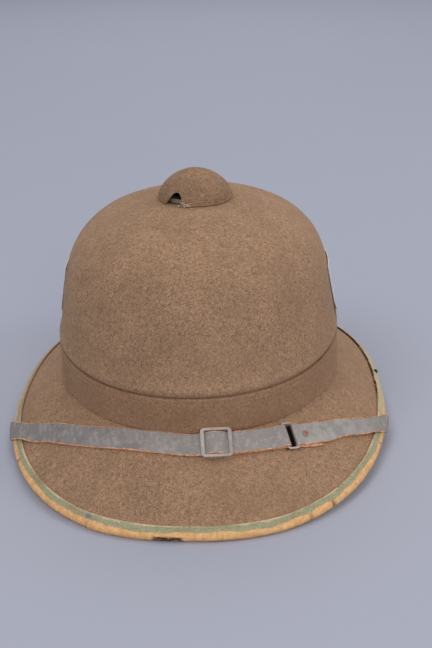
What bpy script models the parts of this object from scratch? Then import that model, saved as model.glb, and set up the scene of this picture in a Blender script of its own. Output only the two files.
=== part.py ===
"""Pith helmet of felt, with a leather binding, a leather chin strap and metal fittings.

The front of the helmet points to -Y, the width runs along X, and the floor is z = 0.
All sizes are in metres. A "turn" is an angle seen from above, 0 at the front and
positive towards +X. An "out" is a share of the way from the neck to the rim.
"""
import math

import bmesh
import bpy
from mathutils import Matrix, Vector

# Felt body
BRIM_WIDTH = 0.2665
BRIM_LENGTH = 0.338
BRIM_DROP = 0.0406
BRIM_FELT = 0.003
BRIM_BOW = 0.10
BRIM_POWER = 2.34
SIDE_LIFT = 0.0075
SIDE_LIFT_POWER = 1.15
FLAT_REST_TURN = math.radians(20)
NECK_HEIGHT = 0.011
CROWN_WIDTH = 0.196
CROWN_LENGTH = 0.228
CROWN_RISE = 0.095
CROWN_FELT = 0.0028
CROWN_POWER = 2.14
CROWN_TAPER = 0.166
CROWN_SHOULDER = 6.4
CROWN_ROUND = 1.6
CROWN_BULGE = 0.005

# Hatband
BAND_HEIGHT = 0.0235
BAND_FELT = 0.0015
BAND_LEAN = 0.0005
BAND_SIDE_RISE = 0.003

# Leather binding of the rim
BINDING_LEATHER = 0.0012
BINDING_WIDTH = 0.0066
EDGE_HEIGHT = 0.0032

# Vent on the top
VENT_RADIUS = 0.025
VENT_HEIGHT = 0.0185
VENT_FELT = 0.002
VENT_SKIRT = 0.0015
VENT_HOLE_RADIUS = 0.013
VENT_METAL = 0.0008
VENT_RIM_HEIGHT = 0.002
VENT_RIM_INSET = 0.0012
VENT_SPIGOT = 0.005
NOTCH_TURN = math.radians(-29.5)
NOTCH_RADIUS = 0.0072

# Side shields
SHIELD_WIDTH = 0.034
SHIELD_HEIGHT = 0.040
SHIELD_METAL = 0.0009
SHIELD_LIFT = 0.0268
PIN_RADIUS = 0.001
PIN_REACH = 0.0015

# Chin strap
STRAP_WIDTH = 0.015
STRAP_LEATHER = 0.0012
FOLD_LENGTH = 0.0165
ANCHOR_HEAD_RADIUS = 0.0035
ANCHOR_HEAD_HEIGHT = 0.001
ANCHOR_SHANK_RADIUS = 0.0012
ANCHOR_INSET = 0.005
STUD_HEAD_RADIUS = 0.0022
STUD_HEAD_HEIGHT = 0.0007
STUD_SHANK_RADIUS = 0.0008
STUD_SETBACK = 0.0068

# Slide buckle and ring
BUCKLE_PLACE = 0.016
BUCKLE_LENGTH = 0.0195
BUCKLE_RAIL = 0.0018
BUCKLE_METAL = 0.0018
BUCKLE_CORNER = 0.0022
BAR_WIDTH = 0.0018
BAR_METAL = 0.0017
RING_PLACE = 0.0635
RING_LENGTH = 0.0086
RING_WIRE = 0.0014
RING_CORNER = 0.0018

# Clearances
GAP = 0.0003
SOFT_GAP = 0.0004
HOLE_GAP = 0.0004
RIM_GAP = 0.0009
SIDE_GAP = 0.0005
BAND_CLEAR = 0.0016
HIDDEN_SLACK = 0.0008

# Fineness of the facets
AROUND = 60
VENT_AROUND = 28
VENT_ROWS = 5
PIN_AROUND = 12
STRAP_STEP = 0.007
WRAP_STEP = 0.0026
NEAR_NECK = 0.7
STRAP_COLUMNS = 4
SAMPLES = 400
NORMAL_STEP = 0.003
PROBE_STEP = 0.001
PROBE_TURN = 0.01

# Rows of the crown's wall, each a share of its rise
CROWN_ROWS = (0.25, 0.48, 0.64, 0.76, 0.85, 0.915, 0.96, 0.98)

# Rows of the brim's wall, each a share of the way from the neck to the rim
BRIM_ROWS = (0.0, 0.12, 0.36, 0.68, 1.0)

# Route of the strap on each side, from the front to the anchor. On the top face the
# share runs from the line that keeps the buckle clear of the band to the rim, and on the
# under face from the neck to the rim.
LEFT_ROUTE = (
    # face, turn in degrees, share
    ("top", 0, 0.0005),
    ("top", 10, 0.0),
    ("top", 20, 0.025),
    ("top", 30, 0.118),
    ("top", 43.7, 0.335),
    ("top", 50.6, 0.565),
    ("top", 57.4, 0.775),
    ("under", 76.4, 0.72),
    ("under", 84.2, 0.36),
    ("under", 90, 0.04),
    ("under", 92, -0.24),
)
RIGHT_ROUTE = (
    # face, turn in degrees, share
    ("top", 0, 0.0005),
    ("top", 10, 0.0),
    ("top", 20, 0.022),
    ("top", 30, 0.095),
    ("top", 46, 0.33),
    ("top", 54, 0.545),
    ("top", 62.4, 0.855),
    ("under", 81.2, 0.72),
    ("under", 87.4, 0.36),
    ("under", 91, 0.04),
    ("under", 92, -0.24),
)

# Outline of half a shield, from the middle of its top edge to its point
SHIELD_OUTLINE = (
    # share of half the width, share of the height above the middle
    (0.0, 0.5),
    (1.0, 0.5),
    (1.0, 0.05),
    (0.94, -0.12),
    (0.80, -0.27),
    (0.58, -0.38),
    (0.30, -0.46),
    (0.0, -0.5),
)

# Colours, roughness and metal share of the materials
FINISHES = {
    "felt": ((0.27, 0.17, 0.11), 0.95, 0.0),
    "band_felt": ((0.20, 0.12, 0.075), 0.95, 0.0),
    "binding_leather": ((0.42, 0.27, 0.12), 0.7, 0.0),
    "strap_leather": ((0.17, 0.18, 0.17), 0.6, 0.0),
    "grey_metal": ((0.24, 0.25, 0.25), 0.5, 0.8),
    "vent_metal": ((0.22, 0.25, 0.20), 0.5, 0.8),
    "shield_metal": ((0.55, 0.56, 0.56), 0.4, 0.9),
    "copper": ((0.40, 0.20, 0.12), 0.45, 0.9),
}

# Sizes that follow from the ones above
BAND_FOOT = BRIM_DROP + GAP
BAND_TOP = BAND_FOOT + BAND_HEIGHT
FOOT_INSET = BAND_LEAN + BAND_FELT + GAP
CROWN_HALF_X = CROWN_WIDTH / 2
CROWN_HALF_Y = CROWN_LENGTH / 2
NECK_HALF_X = CROWN_HALF_X - FOOT_INSET
NECK_HALF_Y = CROWN_HALF_Y - FOOT_INSET
RIM_INSET = BINDING_LEATHER + GAP
RIM_HALF_X = BRIM_WIDTH / 2 - RIM_INSET
RIM_HALF_Y = BRIM_LENGTH / 2 - RIM_INSET
CROWN_FOOT = BRIM_DROP + NECK_HEIGHT + GAP
FIRST_LAYER = SOFT_GAP + STRAP_LEATHER / 2
SECOND_LAYER = FIRST_LAYER + STRAP_LEATHER + GAP
BAR_FOOT = FIRST_LAYER + STRAP_LEATHER / 2 + GAP
RAIL_FOOT = SECOND_LAYER + STRAP_LEATHER / 2 + GAP
OVER_BAR = BAR_FOOT + BAR_METAL + GAP + STRAP_LEATHER / 2
FOLD_RADIUS = RING_WIRE / 2 + GAP + STRAP_LEATHER / 2
WRAP_RADIUS = BRIM_FELT / 2 + RIM_INSET + RIM_GAP + STRAP_LEATHER / 2
WRAP_GIRTH = math.pi * WRAP_RADIUS
BINDING_BUMP = WRAP_RADIUS - BRIM_FELT / 2 - FIRST_LAYER
BUCKLE_BREADTH = STRAP_WIDTH + 2 * (SIDE_GAP + BUCKLE_RAIL)
RING_BREADTH = STRAP_WIDTH + 2 * (SIDE_GAP + RING_WIRE)
VENT_INSIDE = VENT_RADIUS - VENT_FELT - VENT_RIM_INSET
CLEAR_LINE = BUCKLE_BREADTH / 2 + BAND_CLEAR


def clear_scene():
    for item in list(bpy.data.objects):
        bpy.data.objects.remove(item, do_unlink=True)


def material(name):
    found = bpy.data.materials.get(name)
    if found:
        return found
    colour, roughness, metal = FINISHES[name]
    made = bpy.data.materials.new(name)
    made.use_nodes = True
    shader = made.node_tree.nodes["Principled BSDF"]
    shader.inputs["Base Color"].default_value = (*colour, 1.0)
    shader.inputs["Roughness"].default_value = roughness
    shader.inputs["Metallic"].default_value = metal
    return made


def add_object(name, mesh_builder, finish, sharp=35):
    mesh = bpy.data.meshes.new(name)
    mesh_builder.to_mesh(mesh)
    mesh_builder.free()
    mesh.shade_smooth()
    mesh.set_sharp_from_angle(angle=math.radians(sharp))
    made = bpy.data.objects.new(name, mesh)
    bpy.context.scene.collection.objects.link(made)
    if finish:
        made.data.materials.append(material(finish))
    return made


def grid(rows, closed_rows=False, closed_ring=False):
    """Quads between neighbouring rows of points, all rows equally long."""
    builder = bmesh.new()
    verts = [[builder.verts.new(point) for point in row] for row in rows]
    count = len(verts[0])
    last_row = len(verts) if closed_ring else len(verts) - 1
    last_point = count if closed_rows else count - 1
    for i in range(last_row):
        lower = verts[i]
        upper = verts[(i + 1) % len(verts)]
        for j in range(last_point):
            k = (j + 1) % count
            builder.faces.new((lower[j], lower[k], upper[k], upper[j]))
    return builder


def swept_ring(sections):
    """A closed body from closed sections set one after another in a ring."""
    builder = grid(sections, closed_rows=True, closed_ring=True)
    bmesh.ops.recalc_face_normals(builder, faces=builder.faces)
    return builder


def add_wall(item, thickness, offset=-1.0):
    wall = item.modifiers.new("Wall", "SOLIDIFY")
    wall.thickness = thickness
    wall.offset = offset
    return wall


def boolean(item, tool, operation):
    change = item.modifiers.new(operation.title(), "BOOLEAN")
    change.operation = operation
    change.object = tool
    tool.hide_render = True
    tool.display_type = "WIRE"


def frame_matrix(point, across, along, up):
    matrix = Matrix((across, along, up)).transposed().to_4x4()
    matrix.translation = point
    return matrix


def frame_on(point, up, hint):
    """A frame whose Z is up and whose X is as near as it can be to hint."""
    up = up.normalized()
    across = (hint - up * hint.dot(up)).normalized()
    return frame_matrix(point, across, up.cross(across), up)


def add_cylinder(name, radius, low, high, frame, finish=None, sides=PIN_AROUND):
    builder = bmesh.new()
    shift = Matrix.Translation((0, 0, (low + high) / 2))
    bmesh.ops.create_cone(builder, cap_ends=True, segments=sides, radius1=radius,
                          radius2=radius, depth=high - low, matrix=frame @ shift)
    return add_object(name, builder, finish)


def oval(half_x, half_y, power, turn):
    """Plan of a rounded oval: half its width, half its length and its squareness."""
    reach = (abs(math.sin(turn)) / half_x) ** power + (abs(math.cos(turn)) / half_y) ** power
    radius = reach ** (-1 / power)
    return radius * math.sin(turn), -radius * math.cos(turn)


def turns(count):
    return [2 * math.pi * i / count for i in range(count)]


def blend(low, high, share):
    return low + (high - low) * share


def smooth(share):
    share = min(max(share, 0.0), 1.0)
    return share * share * (3 - 2 * share)


def rim_lift(turn):
    """Height of the underside of the rim: zero at front and rear, raised at the sides."""
    start = math.sin(FLAT_REST_TURN)
    share = max(0.0, (abs(math.sin(turn)) - start) / (1 - start))
    return SIDE_LIFT * share ** SIDE_LIFT_POWER


def slope_length(turn):
    x_in, y_in = oval(NECK_HALF_X, NECK_HALF_Y, CROWN_POWER, turn)
    x_out, y_out = oval(RIM_HALF_X, RIM_HALF_Y, BRIM_POWER, turn)
    drop = BRIM_DROP - EDGE_HEIGHT - rim_lift(turn)
    return math.hypot(math.hypot(x_out, y_out) - math.hypot(x_in, y_in), drop)


def brim_point(turn, out):
    """A point of the brim's upper face, on the upright neck where out is below 0."""
    share = max(out, 0.0)
    half_x = blend(NECK_HALF_X, RIM_HALF_X, share)
    half_y = blend(NECK_HALF_Y, RIM_HALF_Y, share)
    power = blend(CROWN_POWER, BRIM_POWER, share)
    x, y = oval(half_x, half_y, power, turn)
    edge = EDGE_HEIGHT + rim_lift(turn)
    fallen = (1 - BRIM_BOW) * share + BRIM_BOW * share * share
    z = blend(BRIM_DROP, edge, fallen) + max(-out, 0.0) * slope_length(turn)
    return Vector((x, y, z))


def brim_axes(turn, out):
    """Unit vectors at a point of the brim: round the hat, down the slope, and up from it."""
    step = NORMAL_STEP / slope_length(turn)
    round_hat = brim_point(turn + step, out) - brim_point(turn - step, out)
    down = brim_point(turn, out + step) - brim_point(turn, out - step)
    up = down.cross(round_hat).normalized()
    if up.z < -1e-6:
        up = -up
    round_hat.normalize()
    return round_hat, round_hat.cross(up), up


def crown_share(up):
    """Share of the crown's half width at a share of its rise."""
    return (1 - up ** CROWN_SHOULDER) ** (1 / CROWN_ROUND) * (1 - CROWN_TAPER * up)


def crown_rise_at(share):
    """Share of the rise at which the crown has narrowed to a share of its width."""
    low, high = 0.0, 1.0
    for _ in range(50):
        middle = (low + high) / 2
        if crown_share(middle) > share:
            low = middle
        else:
            high = middle
    return low


def crown_point(turn, up):
    share = crown_share(up)
    x, y = oval(CROWN_HALF_X * share, CROWN_HALF_Y * share, CROWN_POWER, turn)
    base = BAND_TOP + BAND_SIDE_RISE * math.sin(turn) ** 2 * (1 - up)
    return Vector((x, y, base + CROWN_RISE * up))


def crown_height(x, y):
    """Height of the crown's top face over a point near its middle."""
    share = ((abs(x) / CROWN_HALF_X) ** CROWN_POWER
             + (abs(y) / CROWN_HALF_Y) ** CROWN_POWER) ** (1 / CROWN_POWER)
    return BAND_TOP + CROWN_RISE * crown_rise_at(share)


def foot_row(z_of_turn, inset):
    row = []
    for turn in turns(AROUND):
        x, y = oval(CROWN_HALF_X - inset, CROWN_HALF_Y - inset, CROWN_POWER, turn)
        row.append(Vector((x, y, z_of_turn(turn))))
    return row


def band_edge(turn):
    return BAND_TOP + BAND_SIDE_RISE * math.sin(turn) ** 2


def build_crown():
    """Felt shell from the foot behind the band up to the round vent hole."""
    rows = [foot_row(lambda turn: CROWN_FOOT, FOOT_INSET)]
    rows.append(foot_row(lambda turn: band_edge(turn) - GAP, FOOT_INSET))
    rows.append(foot_row(lambda turn: band_edge(turn) + 0.4 * CROWN_BULGE, FOOT_INSET * 0.3))
    rows.append([crown_point(turn, CROWN_BULGE / CROWN_RISE) for turn in turns(AROUND)])
    for up in CROWN_ROWS:
        rows.append([crown_point(turn, up) for turn in turns(AROUND)])
    hole = []
    for turn in turns(AROUND):
        x = VENT_HOLE_RADIUS * math.sin(turn)
        y = -VENT_HOLE_RADIUS * math.cos(turn)
        hole.append(Vector((x, y, crown_height(x, y))))
    rows.append(hole)
    crown = add_object("crown", grid(rows, closed_rows=True), "felt")
    add_wall(crown, CROWN_FELT)
    return crown


def build_brim():
    rows = [[brim_point(turn, 0.0) + Vector((0, 0, NECK_HEIGHT)) for turn in turns(AROUND)]]
    for out in BRIM_ROWS:
        rows.append([brim_point(turn, out) for turn in turns(AROUND)])
    rows.reverse()
    brim = add_object("brim", grid(rows, closed_rows=True), "felt")
    add_wall(brim, BRIM_FELT)
    return brim


def build_hatband():
    rows = []
    for share in (0.0, 1.0):
        lean = BAND_LEAN * (1 - share)
        rows.append(foot_row(lambda turn: blend(BAND_FOOT, band_edge(turn), share), lean))
    band = add_object("hatband", grid(rows, closed_rows=True), "band_felt")
    add_wall(band, BAND_FELT)
    return band


def binding_section(turn):
    """The folded strip's section: d runs out from the felt's edge, h up from its face."""
    corner = brim_point(turn, 1.0)
    _, outward, up = brim_axes(turn, 1.0)
    sine = -outward.z
    cosine = up.z
    inside = GAP
    outside = GAP + BINDING_LEATHER
    below = BRIM_FELT + outside
    foot_h = (-EDGE_HEIGHT + outside * sine) / cosine
    foot_d = (EDGE_HEIGHT - below * cosine) / sine
    section = (
        (-BINDING_WIDTH, outside),
        (inside, outside),
        (outside, inside),
        (outside, foot_h),
        (foot_d, -below),
        (-BINDING_WIDTH, -below),
        (-BINDING_WIDTH, -BRIM_FELT - inside),
        (inside, -BRIM_FELT - inside),
        (inside, inside),
        (-BINDING_WIDTH, inside),
    )
    return [corner + outward * d + up * h for d, h in section]


def build_binding():
    sections = [binding_section(turn) for turn in turns(AROUND)]
    return add_object("brim_binding", swept_ring(sections), "binding_leather")


def vent_base(turn, radius, lift):
    x = radius * math.sin(turn)
    y = -radius * math.cos(turn)
    return Vector((x, y, crown_height(x, y) + lift))


def build_vent_cap():
    """Felt dome with a short upright skirt and one arched notch."""
    rows = []
    for lift in (0.0, VENT_SKIRT):
        row = []
        for turn in turns(VENT_AROUND):
            seat = vent_base(turn, VENT_RADIUS - VENT_FELT, SOFT_GAP + lift)
            outward = Vector((math.sin(turn), -math.cos(turn), 0))
            row.append(seat + outward * VENT_FELT)
        rows.append(row)
    foot = rows[-1]
    top = crown_height(0, VENT_RADIUS) + VENT_HEIGHT
    for i in range(1, VENT_ROWS + 1):
        angle = math.radians(82) * i / VENT_ROWS
        row = []
        for point in foot:
            z = blend(point.z, top, math.sin(angle))
            row.append(Vector((point.x * math.cos(angle), point.y * math.cos(angle), z)))
        rows.append(row)
    builder = grid(rows, closed_rows=True)
    builder.verts.ensure_lookup_table()
    builder.faces.new(builder.verts[-VENT_AROUND:])
    cap = add_object("vent_cap", builder, "felt")
    add_wall(cap, VENT_FELT)
    side = Vector((math.sin(NOTCH_TURN), -math.cos(NOTCH_TURN), 0))
    edge = vent_base(NOTCH_TURN, VENT_RADIUS, 0)
    frame = frame_on(edge, side, Vector((0, 0, 1)))
    notch = add_cylinder("notch_cutter", NOTCH_RADIUS, -VENT_RADIUS / 2, VENT_RADIUS / 2, frame,
                         sides=24)
    boolean(cap, notch, "DIFFERENCE")
    return cap


def build_vent_collar():
    """Metal ring: a spigot down the vent hole, a flange on the felt and an upright rim."""
    spigot = VENT_HOLE_RADIUS - HOLE_GAP
    sections = []
    for turn in turns(VENT_AROUND):
        direction = Vector((math.sin(turn), -math.cos(turn), 0))
        seat = vent_base(turn, VENT_INSIDE, SOFT_GAP).z
        shoulder = vent_base(turn, VENT_HOLE_RADIUS, SOFT_GAP).z
        profile = (
            (spigot, shoulder - VENT_SPIGOT),
            (spigot, shoulder),
            (VENT_INSIDE, seat),
            (VENT_INSIDE, seat + VENT_METAL + VENT_RIM_HEIGHT),
            (VENT_INSIDE - VENT_METAL, seat + VENT_METAL + VENT_RIM_HEIGHT),
            (VENT_INSIDE - VENT_METAL, seat + VENT_METAL),
            (spigot - VENT_METAL, shoulder + VENT_METAL),
            (spigot - VENT_METAL, shoulder - VENT_SPIGOT),
        )
        sections.append([direction * r + Vector((0, 0, z)) for r, z in profile])
    return add_object("vent_collar", swept_ring(sections), "vent_metal")


def shield_frame(side):
    """Frame on the crown's side: X along the hat, Y up the wall, Z out of it."""
    up = SHIELD_LIFT / CROWN_RISE
    turn = side * math.pi / 2
    step = 0.5 * SHIELD_HEIGHT / CROWN_RISE
    seat = crown_point(turn, up)
    rise = (crown_point(turn, up + step) - crown_point(turn, up - step)).normalized()
    along = Vector((0, side, 0))
    return frame_matrix(seat, along, rise, along.cross(rise))


def build_shield(name, side, crown):
    frame = shield_frame(side)
    other_half = [(-x, y) for x, y in reversed(SHIELD_OUTLINE[1:-1])]
    builder = bmesh.new()
    ring = []
    for x, y in (*SHIELD_OUTLINE, *other_half):
        point = Vector((x * SHIELD_WIDTH / 2, y * SHIELD_HEIGHT, SOFT_GAP))
        ring.append(builder.verts.new(frame @ point))
    back = builder.faces.new(ring)
    front = bmesh.ops.extrude_face_region(builder, geom=[back])
    raised = [item for item in front["geom"] if isinstance(item, bmesh.types.BMVert)]
    normal = frame.to_3x3() @ Vector((0, 0, SHIELD_METAL))
    bmesh.ops.translate(builder, vec=normal, verts=raised)
    bmesh.ops.recalc_face_normals(builder, faces=builder.faces)
    shield = add_object(name, builder, "shield_metal")
    reach = CROWN_FELT + PIN_REACH
    pin = add_cylinder(name + "_pin", PIN_RADIUS, -reach, SOFT_GAP + SHIELD_METAL / 2, frame)
    boolean(shield, pin, "UNION")
    hole = add_cylinder(name + "_hole", PIN_RADIUS + HOLE_GAP, -2 * reach, reach, frame)
    boolean(crown, hole, "DIFFERENCE")
    return shield


def skin(turn, girth, lift):
    """A point above the brim, round its bound edge, or below it.

    Girth is the distance past the line where the strap starts to turn round the rim.
    It is negative on the upper side.
    """
    length = slope_length(turn)
    if girth < 0:
        inward, tilt = -girth, 0.0
    elif girth < WRAP_GIRTH:
        inward, tilt = 0.0, girth / WRAP_RADIUS
    else:
        inward, tilt = girth - WRAP_GIRTH, math.pi
        lift += HIDDEN_SLACK * smooth(inward / BINDING_WIDTH)
    out = 1 - (inward + BRIM_FELT / 3) / length
    _, outward, up = brim_axes(turn, out)
    over = 1 - smooth((inward - BINDING_WIDTH - GAP) / BINDING_WIDTH)
    away = up * math.cos(tilt) + outward * math.sin(tilt)
    middle = brim_point(turn, out) - up * BRIM_FELT / 2
    return middle + away * (BRIM_FELT / 2 + lift + BINDING_BUMP * over)


def catmull_rom(points, share):
    """Position at a share of a smooth curve through all points."""
    spans = len(points) - 1
    place = min(max(share, 0.0), 1.0) * spans
    i = min(int(place), spans - 1)
    t = place - i
    before = points[max(i - 1, 0)]
    after = points[min(i + 2, spans)]
    start, end = points[i], points[i + 1]
    made = []
    for a, b, c, d in zip(before, start, end, after):
        made.append(0.5 * (2 * b + (c - a) * t + (2 * a - 5 * b + 4 * c - d) * t * t
                           + (3 * b - a - 3 * c + d) * t * t * t))
    return made


class StrapLine:
    """The middle line of the strap on one side, walked by its length from the front."""

    def __init__(self, side, route):
        points = []
        for face, degrees, share in route:
            turn = math.radians(degrees) * side
            length = slope_length(turn)
            if face == "top":
                points.append((turn, (share - 1) * (length - CLEAR_LINE)))
            else:
                points.append((turn, WRAP_GIRTH + (1 - share) * length))
        self.places = [catmull_rom(points, i / SAMPLES) for i in range(SAMPLES + 1)]
        self.lengths = [0.0]
        spots = [skin(turn, girth, FIRST_LAYER) for turn, girth in self.places]
        for before, after in zip(spots, spots[1:]):
            self.lengths.append(self.lengths[-1] + (after - before).length)
        self.total = self.lengths[-1]

    def place(self, distance):
        distance = min(max(distance, 0.0), self.total)
        for i in range(1, len(self.lengths)):
            if self.lengths[i] >= distance:
                break
        span = self.lengths[i] - self.lengths[i - 1]
        share = (distance - self.lengths[i - 1]) / span
        return [blend(a, b, share) for a, b in zip(self.places[i - 1], self.places[i])]

    def spread(self, distance, lift, widths):
        """Points across the strap, square to its line, at a distance along it."""
        turn, girth = self.place(distance)
        ahead = self.place(distance + PROBE_STEP)
        behind = self.place(distance - PROBE_STEP)
        by_turn = skin(turn + PROBE_TURN, girth, lift) - skin(turn - PROBE_TURN, girth, lift)
        by_turn /= 2 * PROBE_TURN
        by_girth = skin(turn, girth + PROBE_STEP, lift) - skin(turn, girth - PROBE_STEP, lift)
        by_girth /= 2 * PROBE_STEP
        forward = by_turn * (ahead[0] - behind[0]) + by_girth * (ahead[1] - behind[1])
        sideways = -forward.dot(by_girth)
        down = forward.dot(by_turn)
        size = (by_turn * sideways + by_girth * down).length
        row = []
        for width in widths:
            share = width / size
            row.append(skin(turn + sideways * share, girth + down * share, lift))
        return row

    def steps(self, start, end):
        """Distances from start to end, close together at the rim and near the neck."""
        found = [start]
        while found[-1] < end:
            turn, girth = self.place(found[-1])
            near_rim = -BINDING_WIDTH < girth < WRAP_GIRTH + BINDING_WIDTH
            near_neck = girth > WRAP_GIRTH + NEAR_NECK * slope_length(turn)
            found.append(found[-1] + (WRAP_STEP if near_rim or near_neck else STRAP_STEP))
        found[-1] = end
        if found[-1] - found[-2] < WRAP_STEP / 2:
            del found[-2]
        return found


class StrapFront:
    """The strap seen as one line: distances below 0 run to the left, above 0 to the right."""

    def __init__(self):
        self.left = StrapLine(-1, LEFT_ROUTE)
        self.right = StrapLine(1, RIGHT_ROUTE)
        half = STRAP_COLUMNS // 2
        self.widths = [STRAP_WIDTH / 2 * i / half for i in range(-half, half + 1)]

    def row(self, distance, lift):
        if distance < 0:
            return self.left.spread(-distance, lift, [width * -1 for width in self.widths])
        return self.right.spread(distance, lift, self.widths)

    def frame(self, distance):
        """Frame of a flat fitting: X along the strap, Z away from the brim."""
        low = self.row(distance, 0.0)
        middle = STRAP_COLUMNS // 2
        step = 2 * PROBE_STEP
        ahead = self.row(distance + step, 0.0)[middle] - self.row(distance - step, 0.0)[middle]
        across = low[-1] - low[0]
        up = across.cross(ahead)
        if up.z < 0:
            up = -up
        return frame_on(low[middle], up, ahead)


def flat_row(front, frame, along, height):
    """Points across the strap where a flat fitting holds it straight."""
    return [frame @ Vector((along, -width, height)) for width in front.widths]


def fold_rows(front, frame, direction):
    """The strap as it turns back round one bar of the ring, from over it to under it."""
    bar = -direction * (RING_LENGTH - RING_WIRE) / 2
    centre = BAR_FOOT + RING_WIRE / 2
    rows = []
    for degrees in (90, 54, 18, -18, -54, -90):
        angle = math.radians(degrees)
        along = bar + direction * FOLD_RADIUS * math.cos(angle)
        rows.append(flat_row(front, frame, along, centre + FOLD_RADIUS * math.sin(angle)))
    return rows


def hook_rows(front, frame):
    """The end of the long strap, hooked round the foot and the far side of the buckle's bar."""
    radius = GAP + STRAP_LEATHER / 2
    edge = -BAR_WIDTH / 2
    rows = [flat_row(front, frame, 0.0, FIRST_LAYER)]
    for degrees in (0, 30, 60, 90):
        angle = math.radians(degrees)
        along = edge - radius * math.sin(angle)
        rows.append(flat_row(front, frame, along, BAR_FOOT - radius * math.cos(angle)))
    rows.append(flat_row(front, frame, edge - radius, BAR_FOOT + 0.75 * BAR_METAL))
    return rows


def long_strap_rows(front, buckle, ring):
    """Rows across the strap, from the left anchor to the hook on the buckle's bar."""
    bar = RING_PLACE - RING_LENGTH / 2
    rail = BUCKLE_LENGTH / 2 - BUCKLE_RAIL / 2
    past_rail = BUCKLE_PLACE + 1.8 * rail
    halfway = (past_rail + bar) / 2
    reach = BUCKLE_PLACE - 1.7 * rail
    left = front.left.steps(STRAP_STEP / 3, front.left.total)
    rows = [front.row(-distance, FIRST_LAYER) for distance in reversed(left)]
    rows.append(front.row(reach, FIRST_LAYER))
    over_bar = (
        (-1.0, blend(FIRST_LAYER, SECOND_LAYER, 0.8)),
        (-0.82, SECOND_LAYER),
        (-0.56, blend(SECOND_LAYER, OVER_BAR, 0.6)),
        (-0.3, OVER_BAR),
        (0.12, OVER_BAR),
        (0.48, blend(SECOND_LAYER, OVER_BAR, 0.55)),
        (0.82, SECOND_LAYER),
    )
    rows += [flat_row(front, buckle, share * rail, height) for share, height in over_bar]
    rows += [front.row(place, SECOND_LAYER) for place in (past_rail, halfway)]
    rows.append(front.row(bar - 3 * FOLD_RADIUS, SECOND_LAYER))
    rows += fold_rows(front, ring, 1)
    rows.append(front.row(bar - 3 * FOLD_RADIUS, FIRST_LAYER))
    rows += [front.row(place, FIRST_LAYER) for place in (halfway, past_rail)]
    rows.append(flat_row(front, buckle, rail, FIRST_LAYER))
    return rows + hook_rows(front, buckle)


def short_strap_rows(front, ring):
    """Rows across the strap, from the right anchor to its folded end."""
    bar = RING_PLACE + RING_LENGTH / 2
    lap = bar + FOLD_LENGTH
    clear = bar + 3 * FOLD_RADIUS
    right = front.right.steps(lap + STRAP_STEP, front.right.total)
    rows = [front.row(distance, FIRST_LAYER) for distance in reversed(right)]
    halfway = (clear + lap) / 2
    rows += [front.row(place, SECOND_LAYER) for place in (lap + STRAP_LEATHER, halfway, clear)]
    rows += fold_rows(front, ring, -1)
    rows += [front.row(place, FIRST_LAYER) for place in (clear, halfway, lap)]
    return rows


def build_strap(name, rows):
    strap = add_object(name, grid(rows), "strap_leather")
    add_wall(strap, STRAP_LEATHER, offset=0.0)
    return strap


def rounded_rectangle(length, breadth, corner):
    """Middle line of a frame, as points and outward directions in its plane."""
    places = []
    for quarter in range(4):
        sign_x = 1 if quarter in (0, 3) else -1
        sign_y = 1 if quarter in (0, 1) else -1
        centre = Vector((sign_x * (length / 2 - corner), sign_y * (breadth / 2 - corner), 0))
        for step in range(4):
            angle = math.radians(90 * quarter + 30 * step)
            outward = Vector((math.cos(angle), math.sin(angle), 0))
            places.append((centre + outward * corner, outward))
    return places


def build_slide_buckle(frame):
    """Flat square frame with one cross bar under it."""
    half = BUCKLE_RAIL / 2
    edge = 0.25 * BUCKLE_METAL
    low = RAIL_FOOT
    high = RAIL_FOOT + BUCKLE_METAL
    section = (
        (half, low),
        (half, high - edge),
        (half - edge, high),
        (edge - half, high),
        (-half, high - edge),
        (-half, low),
    )
    sections = []
    middle = rounded_rectangle(BUCKLE_LENGTH - BUCKLE_RAIL, BUCKLE_BREADTH - BUCKLE_RAIL, BUCKLE_CORNER)
    for point, outward in middle:
        lifted = [point + outward * d + Vector((0, 0, h)) for d, h in section]
        sections.append([frame @ corner for corner in lifted])
    buckle = add_object("slide_buckle", swept_ring(sections), "grey_metal")
    builder = bmesh.new()
    bar_size = Vector((BAR_WIDTH, BUCKLE_BREADTH - 1.6 * BUCKLE_RAIL, BAR_METAL))
    bar_frame = frame @ Matrix.Translation((0, 0, BAR_FOOT + BAR_METAL / 2))
    bmesh.ops.create_cube(builder, size=1.0, matrix=bar_frame @ Matrix.Diagonal((*bar_size, 1)))
    bar = add_object("buckle_bar", builder, None)
    boolean(buckle, bar, "UNION")
    return buckle


def build_strap_ring(frame):
    height = BAR_FOOT + RING_WIRE / 2
    sections = []
    middle = rounded_rectangle(RING_LENGTH - RING_WIRE, RING_BREADTH - RING_WIRE, RING_CORNER)
    for point, outward in middle:
        section = []
        for i in range(8):
            angle = math.radians(45 * i + 22.5)
            spoke = outward * math.cos(angle) + Vector((0, 0, math.sin(angle)))
            section.append(frame @ (point + spoke * RING_WIRE / 2 + Vector((0, 0, height))))
        sections.append(section)
    return add_object("strap_ring", swept_ring(sections), "grey_metal")


def build_rivet(name, frame, shank, head, head_low, head_high, shank_end, finish):
    rivet = add_cylinder(name, head, head_low, head_high, frame, finish, sides=16)
    middle = (head_low + head_high) / 2
    post = add_cylinder(name + "_post", shank, min(shank_end, middle), max(shank_end, middle), frame)
    boolean(rivet, post, "UNION")
    return rivet


def build_stud(front, strap):
    """Rivet through both layers of the short strap's fold."""
    bar = RING_PLACE + RING_LENGTH / 2 - RING_WIRE / 2
    frame = front.frame(bar + STUD_SETBACK)
    low = SECOND_LAYER + STRAP_LEATHER / 2 + GAP
    stud = build_rivet("strap_stud", frame, STUD_SHANK_RADIUS, STUD_HEAD_RADIUS,
                       low, low + STUD_HEAD_HEIGHT, SOFT_GAP, "copper")
    hole = add_cylinder("stud_hole", STUD_SHANK_RADIUS + HOLE_GAP, -low, 2 * low, frame)
    boolean(strap, hole, "DIFFERENCE")
    return stud


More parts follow.
